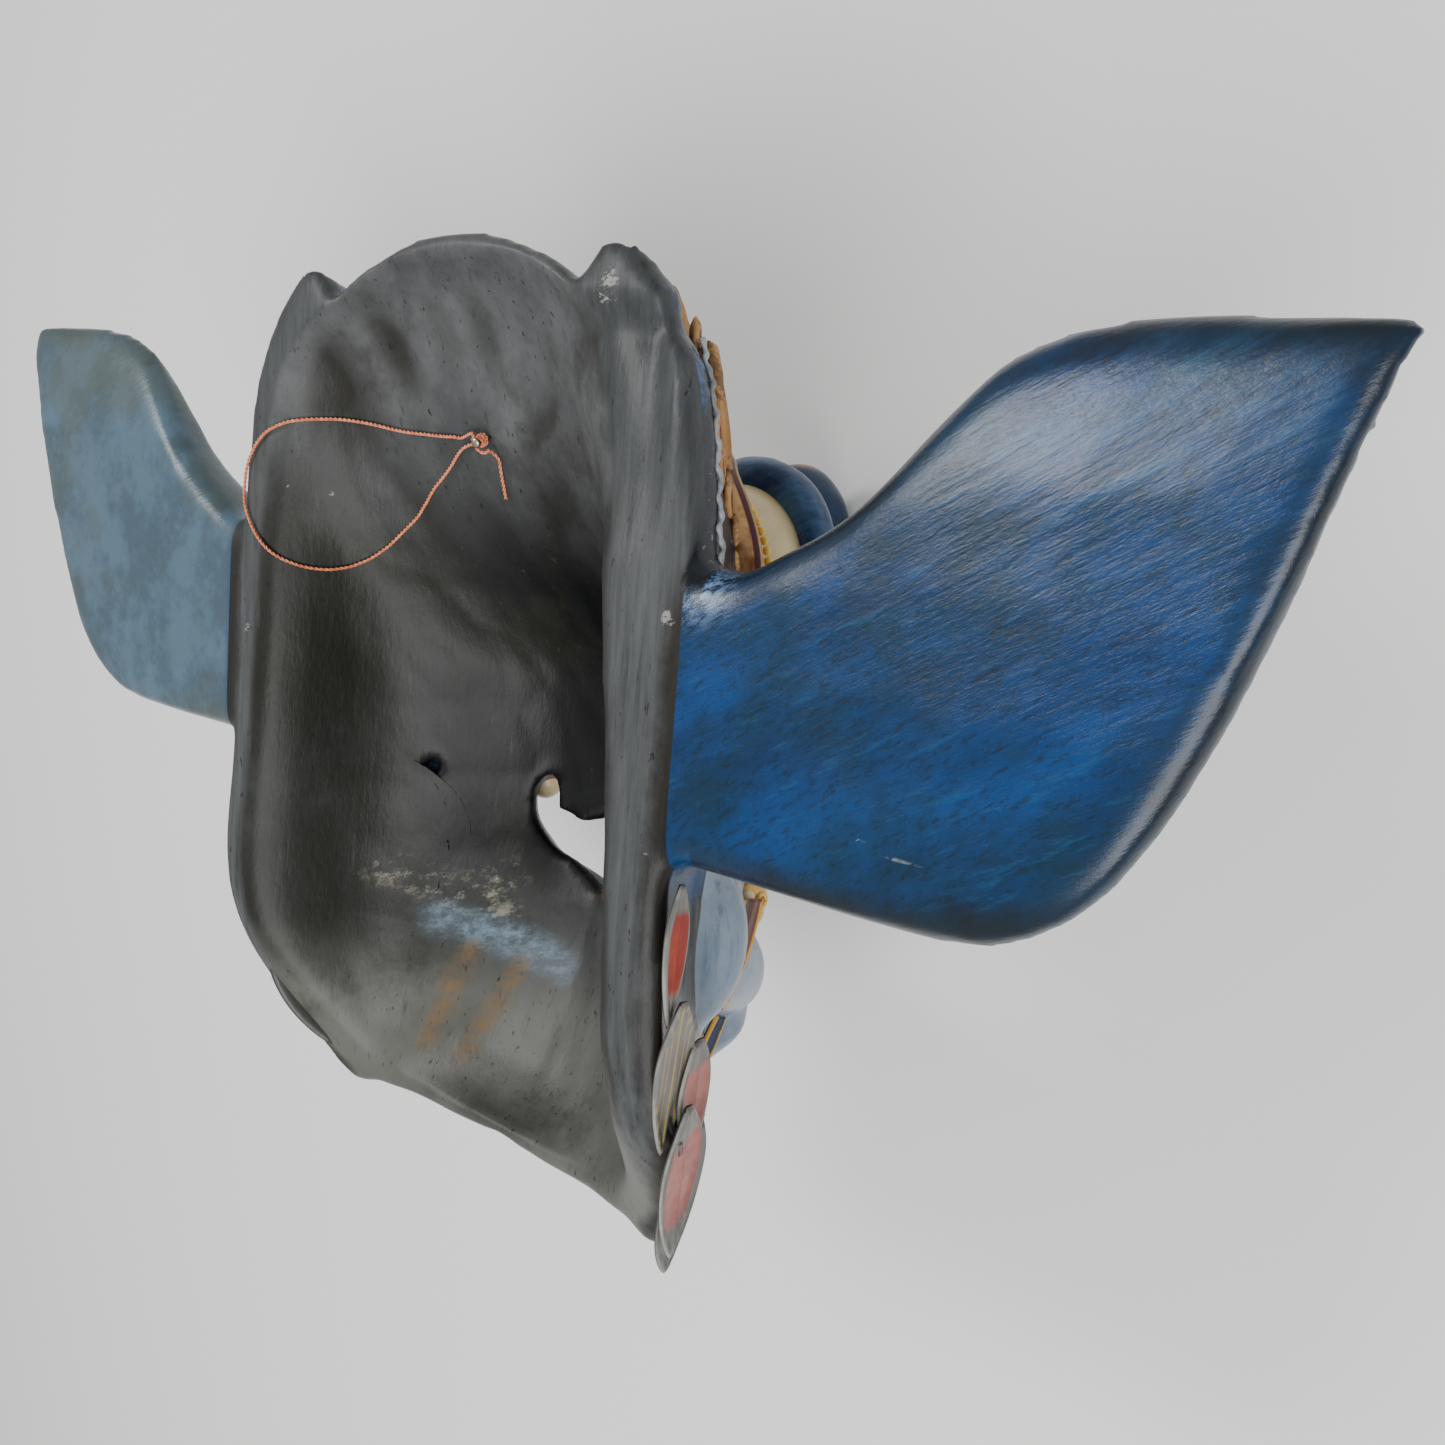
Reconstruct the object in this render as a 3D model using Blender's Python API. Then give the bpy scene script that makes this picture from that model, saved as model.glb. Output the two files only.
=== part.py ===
"""A carved wooden elephant-head mask, lying face down on its trunk and its two tusks, the hollow up.

Metres, +Z up, +X across the ears, +Y towards the crown. The mask's own measures are fractions of
MASK_M: x to the wearer's right seen from behind, z up the face, d forward out of the face.
"""
import math

import bmesh
import bpy
import numpy as np
from mathutils import Vector

for item in list(bpy.data.objects):
    bpy.data.objects.remove(item)

# Driving sizes
MASK_M = 0.42  # one mask unit in metres; the face is 0.55 units wide
FACE_DEPTH = 0.494  # the plane that the trunk and the tusks rest on, forward of the rim
MIDDLE_Z = -0.1500  # the height up the face that lies over the origin
FIT_GAP = 0.0003  # clear space between touching pieces, metres
NAIL_D = 0.0016  # nail shank, metres
NAIL_HEAD_D = 0.0034
NAIL_STANDS = 0.0060  # how far the nail stands out of the wood
NAIL_IN = 0.0090
CORD_D = 0.0012
VIEW_HOLE_D = 0.0062


def world(x, d, z):
    return (x * MASK_M, (z - MIDDLE_Z) * MASK_M, (FACE_DEPTH - d) * MASK_M)


def table(rows, at):
    """A smooth curve through the rows, read at one place."""
    keys = [row[0] for row in rows]
    values = [row[1] for row in rows]
    if at <= keys[0]:
        return values[0]
    if at >= keys[-1]:
        return values[-1]
    i = int(np.searchsorted(keys, at, side="right")) - 1
    span = keys[i + 1] - keys[i]
    steps = [(values[k + 1] - values[k]) / (keys[k + 1] - keys[k]) for k in range(len(keys) - 1)]
    slopes = []
    for k in (i, i + 1):
        before = steps[max(k - 1, 0)]
        after = steps[min(k, len(steps) - 1)]
        slopes.append(0.0 if before * after <= 0 else 2 * before * after / (before + after))
    t = (at - keys[i]) / span
    return ((2 * t ** 3 - 3 * t ** 2 + 1) * values[i] + (t ** 3 - 2 * t ** 2 + t) * span * slopes[0]
            + (3 * t ** 2 - 2 * t ** 3) * values[i + 1] + (t ** 3 - t ** 2) * span * slopes[1])


def finish_mesh(name, points, faces):
    mesh = bpy.data.meshes.new(name)
    mesh.from_pydata([world(*p) for p in points], [], faces)
    built = bmesh.new()
    built.from_mesh(mesh)
    bmesh.ops.recalc_face_normals(built, faces=built.faces)
    if built.calc_volume(signed=True) < 0:
        bmesh.ops.reverse_faces(built, faces=built.faces)
    bmesh.ops.triangulate(built, faces=built.faces[:])
    built.to_mesh(mesh)
    built.free()
    piece = bpy.data.objects.new(name, mesh)
    bpy.context.collection.objects.link(piece)
    return piece


def loft(name, rings):
    """Rings of equally many points joined into one closed body; a ring of one point is a tip."""
    points = []
    faces = []
    starts = []
    for ring in rings:
        starts.append(len(points))
        points.extend(ring)
    for i in range(len(rings) - 1):
        a, b = starts[i], starts[i + 1]
        na, nb = len(rings[i]), len(rings[i + 1])
        n = max(na, nb)
        for k in range(n):
            m = (k + 1) % n
            if na == 1:
                faces.append((a, b + k, b + m))
            elif nb == 1:
                faces.append((a + k, a + m, b))
            else:
                faces.append((a + k, a + m, b + m, b + k))
    if len(rings[0]) > 1:
        faces.append(tuple(starts[0] + k for k in reversed(range(len(rings[0])))))
    if len(rings[-1]) > 1:
        faces.append(tuple(starts[-1] + k for k in range(len(rings[-1]))))
    return finish_mesh(name, points, faces)


# The carved shell: an outline, the flat rim that lies on a wall, a domed outside and a hollow
OUTER_EDGE = [
    (0.000, 0.216, 0.008), (0.045, 0.212, 0.008), (0.085, 0.201, 0.008), (0.115, 0.189, 0.006),
    (0.137, 0.177, 0.004), (0.150, 0.189, 0.003), (0.162, 0.201, 0.002), (0.182, 0.198, 0.003),
    (0.199, 0.184, 0.020), (0.214, 0.164, 0.028), (0.228, 0.140, 0.030), (0.242, 0.104, 0.030),
    (0.251, 0.060, 0.030), (0.259, 0.010, 0.028), (0.274, -0.060, 0.014), (0.274, -0.130, 0.010),
    (0.273, -0.190, 0.010), (0.278, -0.240, 0.010), (0.281, -0.290, 0.011), (0.277, -0.335, 0.015),
    (0.262, -0.377, 0.026), (0.242, -0.420, 0.046), (0.218, -0.461, 0.070), (0.190, -0.497, 0.088),
    (0.145, -0.490, 0.094), (0.073, -0.489, 0.099), (0.000, -0.489, 0.101),
]
CREST = [
    (0.000, 0.210, 0.001), (0.044, 0.206, 0.001), (0.082, 0.195, 0.001), (0.111, 0.183, 0.000),
    (0.135, 0.171, 0.000), (0.149, 0.180, 0.000), (0.160, 0.191, 0.000), (0.180, 0.190, 0.000),
    (0.199, 0.177, 0.000), (0.218, 0.158, 0.000), (0.233, 0.134, 0.000), (0.245, 0.101, 0.000),
    (0.251, 0.058, 0.000), (0.255, 0.010, 0.000), (0.256, -0.060, 0.000), (0.255, -0.130, 0.000),
    (0.256, -0.190, 0.000), (0.261, -0.240, 0.000), (0.264, -0.288, 0.000), (0.261, -0.332, 0.005),
    (0.248, -0.373, 0.017), (0.231, -0.413, 0.038), (0.210, -0.453, 0.063), (0.185, -0.488, 0.084),
    (0.144, -0.485, 0.092), (0.072, -0.484, 0.098), (0.000, -0.484, 0.100),
]
INNER_EDGE = [
    (0.000, 0.203, 0.001), (0.042, 0.199, 0.001), (0.078, 0.188, 0.001), (0.104, 0.176, 0.000),
    (0.124, 0.162, 0.000), (0.140, 0.157, 0.000), (0.154, 0.154, 0.000), (0.169, 0.150, 0.000),
    (0.183, 0.142, 0.000), (0.196, 0.128, 0.000), (0.206, 0.110, 0.000), (0.214, 0.082, 0.000),
    (0.220, 0.048, 0.000), (0.225, 0.005, 0.000), (0.229, -0.060, 0.000), (0.232, -0.130, 0.000),
    (0.235, -0.190, 0.000), (0.240, -0.240, 0.000), (0.243, -0.288, 0.000), (0.240, -0.332, 0.004),
    (0.230, -0.371, 0.015), (0.216, -0.408, 0.036), (0.200, -0.446, 0.061), (0.178, -0.480, 0.083),
    (0.142, -0.480, 0.091), (0.071, -0.480, 0.097), (0.000, -0.480, 0.099),
]
CENTRE_Z = -0.13
# Half width, depth at the side and depth in the middle, by height up the face
HOLLOW_HALF = [(-0.480, 0.178), (-0.446, 0.200), (-0.408, 0.216), (-0.371, 0.230), (-0.332, 0.240),
               (-0.288, 0.243), (-0.190, 0.235), (-0.060, 0.229), (0.005, 0.225), (0.048, 0.220),
               (0.082, 0.214), (0.110, 0.206), (0.128, 0.196), (0.142, 0.183), (0.157, 0.160),
               (0.176, 0.130), (0.203, 0.080)]
HOLLOW_SIDE = [(-0.480, 0.083), (-0.446, 0.061), (-0.408, 0.036), (-0.371, 0.015), (-0.332, 0.004),
               (-0.288, 0.000), (0.210, 0.000)]
HOLLOW_MIDDLE = [(-0.480, 0.099), (-0.460, 0.122), (-0.430, 0.145), (-0.380, 0.168), (-0.300, 0.192),
                 (-0.200, 0.206), (-0.120, 0.198), (-0.050, 0.162), (0.010, 0.112), (0.070, 0.074),
                 (0.120, 0.054), (0.160, 0.036), (0.185, 0.019), (0.203, 0.001)]
HOLLOW_WALL = [(0.0, 1.0), (0.20, 0.95), (0.36, 0.86), (0.50, 0.74), (0.62, 0.62), (0.724, 0.49),
               (0.79, 0.36), (0.833, 0.24), (0.877, 0.12), (0.943, 0.03), (1.0, 0.0)]
SOFT_WALL = [(0.0, 1.0), (0.30, 0.93), (0.55, 0.74), (0.75, 0.45), (0.90, 0.14), (1.0, 0.0)]
HOLLOW_RINGS = (0.20, 0.40, 0.57, 0.71, 0.81, 0.88, 0.945)
FACE_HALF = [(-0.497, 0.190), (-0.461, 0.218), (-0.420, 0.242), (-0.377, 0.262), (-0.335, 0.277),
             (-0.290, 0.281), (-0.240, 0.278), (-0.190, 0.273), (-0.060, 0.274), (0.010, 0.259),
             (0.060, 0.251), (0.104, 0.242), (0.140, 0.228), (0.164, 0.214), (0.184, 0.199),
             (0.216, 0.180)]
FACE_SIDE = [(-0.497, 0.088), (-0.461, 0.070), (-0.420, 0.046), (-0.377, 0.026), (-0.335, 0.015),
             (-0.290, 0.010), (-0.130, 0.010), (-0.060, 0.014), (0.010, 0.028), (0.140, 0.030),
             (0.184, 0.020), (0.220, 0.012)]
FACE_MIDDLE = [(-0.489, 0.130), (-0.470, 0.175), (-0.440, 0.205), (-0.400, 0.225), (-0.300, 0.240),
               (-0.200, 0.245), (-0.100, 0.242), (-0.050, 0.222), (0.000, 0.192), (0.050, 0.166),
               (0.100, 0.143), (0.150, 0.114), (0.180, 0.090), (0.200, 0.066), (0.216, 0.036)]
FACE_WALL = [(0.0, 1.0), (0.22, 0.965), (0.42, 0.86), (0.60, 0.69), (0.75, 0.48), (0.85, 0.31),
             (0.92, 0.18), (0.97, 0.07), (1.0, 0.0)]
TEMPLE_WALL = [(0.0, 1.0), (0.22, 0.97), (0.42, 0.89), (0.60, 0.76), (0.75, 0.58), (0.85, 0.42),
               (0.92, 0.27), (0.97, 0.12), (1.0, 0.0)]
TEMPLE = [(-0.200, 0.0), (-0.120, 1.0), (0.000, 1.0), (0.050, 0.0)]
# The carver left the right side narrower below the temple, and its rim broader
RIGHT_SHARE = [(-0.420, 1.0), (-0.370, 0.98), (-0.330, 0.93), (-0.270, 0.91), (-0.190, 0.93),
               (-0.050, 0.94), (0.010, 0.99), (0.050, 1.0)]
RIGHT_HOLLOW = [(-0.430, 1.0), (-0.350, 0.93), (-0.300, 0.88), (-0.190, 0.88), (-0.130, 0.87),
                (-0.050, 0.84), (0.030, 0.82), (0.090, 0.79), (0.125, 0.80), (0.150, 0.93),
                (0.172, 1.0)]
FACE_RINGS = (0.24, 0.46, 0.66, 0.81, 0.90, 0.965)


def both_sides(half, right):
    return ([(x * table(right, z), z, d) for x, z, d in half]
            + [(-x, z, d) for x, z, d in reversed(half[1:-1])])


def depth_at(x, z, half, side, middle, share, right):
    at_side = table(side, z)
    reach = table(half, z) * (table(right, z) if x > 0 else 1.0)
    across = min(abs(x) / reach, 1.0)
    return at_side + (table(middle, z) - at_side) * share(across, z)


def face_share(across, z):
    full = table(TEMPLE, z)
    return (1 - full) * table(FACE_WALL, across) + full * table(TEMPLE_WALL, across)


def hollow_share(across, z):
    """Steep walls beside the face, soft ones in the crown."""
    soft = min(max((z + 0.03) / 0.10, 0.0), 1.0)
    return (1 - soft) * table(HOLLOW_WALL, across) + soft * table(SOFT_WALL, across)


def face_at(x, z):
    """The outside's depth at a place on the face."""
    return depth_at(x, z, FACE_HALF, FACE_SIDE, FACE_MIDDLE, face_share, RIGHT_SHARE)


def hollow_at(x, z):
    """The hollow's depth at a place behind the face."""
    return depth_at(x, z, HOLLOW_HALF, HOLLOW_SIDE, HOLLOW_MIDDLE, hollow_share, RIGHT_HOLLOW)


def on_right(x, z):
    """A place moved in with the narrower right side."""
    return x * table(RIGHT_SHARE, z) if x > 0 else x


def shell_ring(edge, right, s, surface):
    ring = []
    for x, z, d in both_sides(edge, right):
        at = (s * x, CENTRE_Z + s * (z - CENTRE_Z))
        near_edge = max(0.0, (s - 0.93) / 0.07)
        ring.append((at[0], surface(*at) * (1 - near_edge) + d * near_edge, at[1]))
    return ring


def flat_ring(edge, right):
    return [(x, d, z) for x, z, d in both_sides(edge, right)]


rings = [[(0.0, face_at(0, CENTRE_Z), CENTRE_Z)]]
rings += [shell_ring(OUTER_EDGE, RIGHT_SHARE, s, face_at) for s in FACE_RINGS]
rings += [flat_ring(OUTER_EDGE, RIGHT_SHARE), flat_ring(CREST, RIGHT_SHARE), flat_ring(INNER_EDGE, RIGHT_HOLLOW)]
rings += [shell_ring(INNER_EDGE, RIGHT_HOLLOW, s, hollow_at) for s in reversed(HOLLOW_RINGS)]
rings.append([(0.0, hollow_at(0, CENTRE_Z), CENTRE_Z)])
mask = loft("mask", rings)


def boolean(target, other, operation):
    step = target.modifiers.new("step", "BOOLEAN")
    step.operation = operation
    step.solver = "EXACT"
    step.object = other
    evaluated = target.evaluated_get(bpy.context.evaluated_depsgraph_get())
    mesh = bpy.data.meshes.new_from_object(evaluated)
    target.modifiers.clear()
    target.data = mesh
    bpy.data.objects.remove(other)


def add(piece):
    boolean(mask, piece, "UNION")


def cut(piece):
    boolean(mask, piece, "DIFFERENCE")


# The open mouth: a crescent through the wall that flares towards the lips
MOUTH_BACK = [(-0.045, -0.193), (-0.066, -0.215), (-0.063, -0.240), (-0.045, -0.255), (0.0, -0.278),
              (0.045, -0.255), (0.063, -0.240), (0.066, -0.215), (0.045, -0.193), (0.047, -0.215),
              (0.048, -0.236), (0.030, -0.243), (0.0, -0.228), (-0.030, -0.243), (-0.048, -0.236),
              (-0.047, -0.215)]
MOUTH_FRONT = [(-0.150, -0.205), (-0.185, -0.225), (-0.180, -0.270), (-0.120, -0.315), (0.0, -0.335),
               (0.120, -0.315), (0.180, -0.270), (0.185, -0.225), (0.150, -0.205), (0.120, -0.215),
               (0.100, -0.226), (0.050, -0.228), (0.0, -0.222), (-0.050, -0.228), (-0.100, -0.226),
               (-0.120, -0.215)]
cut(loft("mouth", [
    [(x, 0.08, z) for x, z in MOUTH_BACK],
    [(x, 0.172, z) for x, z in MOUTH_BACK],
    [(x, 0.300, z) for x, z in MOUTH_FRONT],
    [(x * 1.3, 0.400, z) for x, z in MOUTH_FRONT],
]))


# The ears: plates that grow out of the rim, dished in front, swept back at the tips
EAR_TOP = [(0.215, 0.000), (0.276, 0.001), (0.320, 0.020), (0.365, 0.047), (0.423, 0.106),
           (0.455, 0.134), (0.507, 0.150), (0.560, 0.153), (0.610, 0.152), (0.640, 0.150),
           (0.655, 0.149)]
EAR_BOTTOM = [(0.215, -0.188), (0.277, -0.188), (0.350, -0.188), (0.430, -0.186), (0.470, -0.182),
              (0.500, -0.171), (0.525, -0.154), (0.545, -0.132), (0.565, -0.100), (0.590, -0.046),
              (0.615, 0.024), (0.640, 0.100), (0.655, 0.136)]
EAR_TIP_LIFT = {1: -0.015, -1: 0.017}
EAR_SECTION = [(0.0, 0.50), (0.03, 0.14), (0.09, 0.0), (0.50, 0.0), (0.91, 0.0), (0.97, 0.14),
               (1.0, 0.50), (0.97, 0.90), (0.90, 1.0), (0.72, 0.78), (0.50, 0.66), (0.28, 0.80),
               (0.10, 1.0), (0.03, 0.90)]
for side in (1, -1):
    rings = []
    for x in (0.215, 0.276, 0.320, 0.365, 0.405, 0.440, 0.475, 0.510, 0.545, 0.585, 0.620, 0.643,
              0.653):
        out = max(0.0, (x - 0.29) / 0.365)
        back = 0.003 - 0.017 * out ** 1.4
        thick = 0.058 - 0.030 * min(out * 1.6, 1.0)
        if x > 0.60:
            thick *= 1.0 - 0.45 * (x - 0.60) / 0.052
        low = table(EAR_BOTTOM, x)
        high = table(EAR_TOP, x) + EAR_TIP_LIFT[side] * out
        rings.append([
            (side * x, back + t * thick, low + f * (high - low)) for f, t in EAR_SECTION
        ])
    add(loft("ear", rings))


def tube(name, path, radii, sides, squash=1.0, across=(1.0, 0.0, 0.0), tip=None):
    """A round body along a path in mask measures; squash flattens it across the path."""
    rings = []
    count = len(path)
    for i, centre in enumerate(path):
        c = Vector(centre)
        ahead = Vector(path[min(i + 1, count - 1)]) - Vector(path[max(i - 1, 0)])
        ahead.normalize()
        wide = Vector(across) - ahead * Vector(across).dot(ahead)
        wide.normalize()
        tall = ahead.cross(wide)
        r = radii[i]
        rings.append([
            tuple(c + wide * (r * math.cos(a)) + tall * (r * squash * math.sin(a)))
            for a in (2 * math.pi * k / sides for k in range(sides))
        ])
    if tip:
        rings.append([tip])
    return loft(name, rings)


def smooth_path(stops, steps):
    """A curve through the stops, each (x, d, z, radius), as evenly numbered points."""
    out = []
    pts = [np.array(p, float) for p in stops]
    pts = [2 * pts[0] - pts[1]] + pts + [2 * pts[-1] - pts[-2]]
    for i in range(1, len(pts) - 2):
        a, b, c, e = pts[i - 1], pts[i], pts[i + 1], pts[i + 2]
        for k in range(steps):
            t = k / steps
            out.append(0.5 * (2 * b + (c - a) * t + (2 * a - 5 * b + 4 * c - e) * t * t
                              + (3 * b - a - 3 * c + e) * t ** 3))
    out.append(pts[-2])
    return out


# The trunk: from between the eyes down past the mouth, out and up to a tip that curls back
TRUNK = [(0, 0.165, 0.000, 0.066), (0, 0.235, -0.035, 0.060), (0, 0.298, -0.090, 0.050),
         (0, 0.330, -0.150, 0.042), (0, 0.354, -0.200, 0.037), (0, 0.396, -0.228, 0.034),
         (0, 0.438, -0.206, 0.033), (0, 0.459, -0.150, 0.034), (0, 0.463, -0.080, 0.034),
         (0, 0.463, -0.010, 0.033), (0, 0.456, 0.038, 0.030), (0, 0.425, 0.062, 0.027),
         (0, 0.391, 0.050, 0.023)]
stops = smooth_path(TRUNK, 2)
path = [tuple(p[:3]) for p in stops]
radii = [p[3] * (1.0 + (0.035 if i % 2 else -0.02) * (2 < i < 23)) for i, p in enumerate(stops)]
add(tube("trunk", path, radii, 12, tip=(0, 0.384, 0.038)))


def ball(name, centre, radii, turn=0.0, around=14, rows=8):
    """An egg shape; turn leans it about the forward axis."""
    rings = []
    for i in range(rows + 1):
        lean = math.pi * i / rows
        d = -math.cos(lean) * radii[1]
        r = math.sin(lean)
        if i in (0, rows):
            rings.append([(centre[0], centre[1] + d, centre[2])])
            continue
        ring = []
        for k in range(around):
            a = 2 * math.pi * k / around
            u, v = r * math.cos(a) * radii[0], r * math.sin(a) * radii[2]
            ring.append((
                centre[0] + u * math.cos(turn) - v * math.sin(turn),
                centre[1] + d,
                centre[2] + u * math.sin(turn) + v * math.cos(turn),
            ))
        rings.append(ring)
    return loft(name, rings)


# The face: eyes under heavy lids, cheeks, jaw and lower lip
EYE = (0.123, 0.196, -0.008)
EYE_R = 0.066
for side in (1, -1):
    lid = []
    for i in range(11):
        a = math.radians(-18 + 216 * i / 10)
        swell = math.sin(math.pi * i / 10)
        lid.append((
            side * (EYE[0] - (EYE_R + 0.006) * math.cos(a)),
            EYE[1] + 0.008 + 0.012 * swell,
            EYE[2] + (EYE_R + 0.004) * math.sin(a),
            0.011 + 0.009 * swell,
        ))
    add(tube("lid", [p[:3] for p in lid], [p[3] for p in lid], 6, across=(0.0, 1.0, 0.0)))
    add(ball("eye", (side * EYE[0], EYE[1], EYE[2]), (EYE_R, EYE_R, EYE_R), around=12, rows=6))
    add(ball("cheek", (side * 0.178, 0.102, -0.268), (0.062, 0.050, 0.076), turn=-side * 0.25,
             around=10, rows=6))

JAW = [(-0.190, 0.110, -0.262, 0.028), (-0.162, 0.172, -0.302, 0.033), (-0.114, 0.232, -0.338, 0.036),
       (-0.058, 0.286, -0.356, 0.038), (0.0, 0.308, -0.362, 0.040), (0.058, 0.286, -0.356, 0.038),
       (0.114, 0.232, -0.338, 0.036), (0.162, 0.172, -0.302, 0.033), (0.190, 0.110, -0.262, 0.028)]
stops = smooth_path(JAW, 1)
add(tube("lower_lip", [tuple(p[:3]) for p in stops], [p[3] for p in stops], 8,
         across=(0.0, 0.0, 1.0)))
add(ball("chin", (0, 0.225, -0.395), (0.115, 0.105, 0.060), around=14, rows=6))
for side in (1, -1):
    add(ball("chin_lobe", (side * 0.072, 0.258, -0.390), (0.043, 0.040, 0.036), around=12, rows=6))
UPPER_LIP = [(-0.205, 0.120, -0.205, 0.024), (-0.150, 0.190, -0.196, 0.028),
             (-0.080, 0.250, -0.186, 0.030), (0.0, 0.270, -0.180, 0.032),
             (0.080, 0.250, -0.186, 0.030), (0.150, 0.190, -0.196, 0.028),
             (0.205, 0.120, -0.205, 0.024)]
stops = smooth_path(UPPER_LIP, 1)
add(tube("upper_lip", [tuple(p[:3]) for p in stops], [p[3] for p in stops], 8,
         across=(0.0, 0.0, 1.0)))
for i in range(6):
    x = -0.110 + 0.044 * i
    d = 0.262 - 2.9 * x * x
    add(ball("tooth", (x, d, -0.214), (0.0195, 0.016, 0.021), around=6, rows=4))

# The tusks: out of gold caps at the corners of the mouth, forward to the resting plane
TUSK = [(0.122, 0.190, -0.168, 0.027), (0.148, 0.270, -0.184, 0.024), (0.170, 0.340, -0.198, 0.021),
        (0.184, 0.410, -0.208, 0.018), (0.190, 0.462, -0.210, 0.0145), (0.190, 0.500, -0.206, 0.011)]
TUSK_CAP = [(0.112, 0.165, -0.162, 0.035), (0.132, 0.222, -0.174, 0.034),
            (0.138, 0.243, -0.178, 0.030)]
for side in (1, -1):
    stops = smooth_path([(side * x, d, z, r) for x, d, z, r in TUSK], 2)
    add(tube("tusk", [tuple(p[:3]) for p in stops], [p[3] for p in stops], 8))
    add(tube("tusk_cap", [(side * x, d, z) for x, d, z, r in TUSK_CAP],
             [r for x, d, z, r in TUSK_CAP], 10))


# The leaves: raised blades that lie on the shell, each from a root to a tip
BLADE = ((0.0, 0.5, 0.7), (0.35, 1.0, 1.0), (0.72, 0.7, 0.85))
SPIKE = ((0.0, 0.8, 0.8), (0.4, 1.0, 1.0))


def leaf(name, root, tip, width, thick, out, shape=BLADE):
    a = Vector(root)
    b = Vector(tip)
    along = b - a
    length = along.length
    along.normalize()
    up = Vector(out) - along * Vector(out).dot(along)
    up.normalize()
    across = along.cross(up)
    rings = []
    for t, w, h in shape:
        c = a + along * (length * t)
        ring = []
        for u, v in ((-1.0, 0.0), (0.0, 1.0), (1.0, 0.0), (0.0, -0.8)):
            ring.append(tuple(c + across * (u * w * width / 2) + up * (v * h * thick / 2)))
        rings.append(ring)
    rings.append([tuple(b)])
    return loft(name, rings)


def outward(x, z):
    """The shell's outward direction at a place on the face."""
    e = 0.004
    dx = (face_at(x + e, z) - face_at(x - e, z)) / (2 * e)
    dz = (face_at(x, z + e) - face_at(x, z - e)) / (2 * e)
    return Vector((-dx, 1.0, -dz)).normalized()


def on_face(x, z, lift):
    n = outward(x, z)
    return Vector((x, face_at(x, z), z)) + n * lift


# Side and bottom fringe: (root x, root z), (tip x, tip z, tip forward), width
FRINGE = [
    ((0.262, -0.204), (0.280, -0.298, 0.020), 0.040), ((0.262, -0.262), (0.270, -0.368, 0.026), 0.044),
    ((0.248, -0.322), (0.234, -0.446, 0.052), 0.050), ((0.218, -0.368), (0.200, -0.500, 0.092), 0.060),
    ((0.170, -0.412), (0.160, -0.508, 0.118), 0.058), ((0.120, -0.438), (0.122, -0.514, 0.142), 0.054),
    ((0.074, -0.446), (0.078, -0.520, 0.158), 0.052), ((0.028, -0.448), (0.029, -0.522, 0.168), 0.048),
]
for side in (1, -1):
    for (rx, rz), (tx, tz, td), wide in FRINGE:
        root = on_face(on_right(side * rx, rz), rz, 0.0)
        corner_drop = 0.008 * side if wide == 0.060 else 0.0
        add(leaf("fringe_leaf", root, (on_right(side * tx, tz), td, tz - corner_drop), wide, 0.022,
                 (side * rx * 1.5, 0.35, -0.2)))

# Diadem: a band over the brow, a rosette, and flame leaves that stand up on the crown
def strip(name, places, half_height, low, high):
    spots = [Vector((x, face_at(x, z), z)) for x, z in places]
    rings = []
    for i, c in enumerate(spots):
        n = outward(c.x, c.z)
        ahead = (spots[min(i + 1, len(spots) - 1)] - spots[max(i - 1, 0)]).normalized()
        up = n.cross(ahead).normalized()
        rings.append([
            tuple(c + up * (v * half_height) + n * w) for v, w in
            ((-1.0, -low), (-1.0, high * 0.55), (-0.55, high), (0.55, high), (1.0, high * 0.55),
             (1.0, -low))
        ])
    return loft(name, rings)


BAND = [(0.236, -0.085), (0.238, -0.040), (0.232, 0.005), (0.214, 0.038), (0.178, 0.062),
        (0.125, 0.075), (0.062, 0.082), (0.0, 0.084)]
half = [(x, 0.0, z, 0.0) for x, z in BAND]
band = smooth_path([(-x, d, z, r) for x, d, z, r in half] + half[-2::-1], 1)
band = [(on_right(p[0], p[2]), p[2]) for p in band]
add(strip("diadem_band", band, 0.016, 0.014, 0.014))
add(ball("rosette", tuple(on_face(0, 0.090, 0.006)), (0.034, 0.024, 0.034), around=12, rows=6))
FLAMES = [((0.0, 0.118), (0.0, 0.214), 0.060), ((0.062, 0.112), (0.070, 0.202), 0.054),
          ((0.118, 0.098), (0.126, 0.172), 0.050), ((0.165, 0.082), (0.166, 0.176), 0.050),
          ((0.200, 0.058), (0.206, 0.140), 0.042)]
for i, ((rx, rz), (tx, tz), wide) in enumerate(FLAMES):
    for side in ((1, -1) if rx else (1,)):
        root = on_face(side * rx, rz, 0.0)
        tip = on_face(side * tx, tz, 0.005)
        add(leaf("flame_leaf", root, tip, wide, 0.020, outward(side * rx, rz)))

# Spiked strip down each side of the crown
EDGE_LINE = [(-0.030, 0.244), (0.050, 0.236), (0.110, 0.224), (0.170, 0.198)]
for side in (1, -1):
    for k in range(6):
        z = 0.160 - 0.031 * k
        x = side * table(EDGE_LINE, z)
        root = on_face(x, z - 0.010, -0.003)
        tip = root + Vector((side * 0.006, 0.002, 0.030))
        add(leaf("side_spike", root, tip, 0.024, 0.014, (side * 1.0, 0.7, 0.0), SPIKE))


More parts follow.
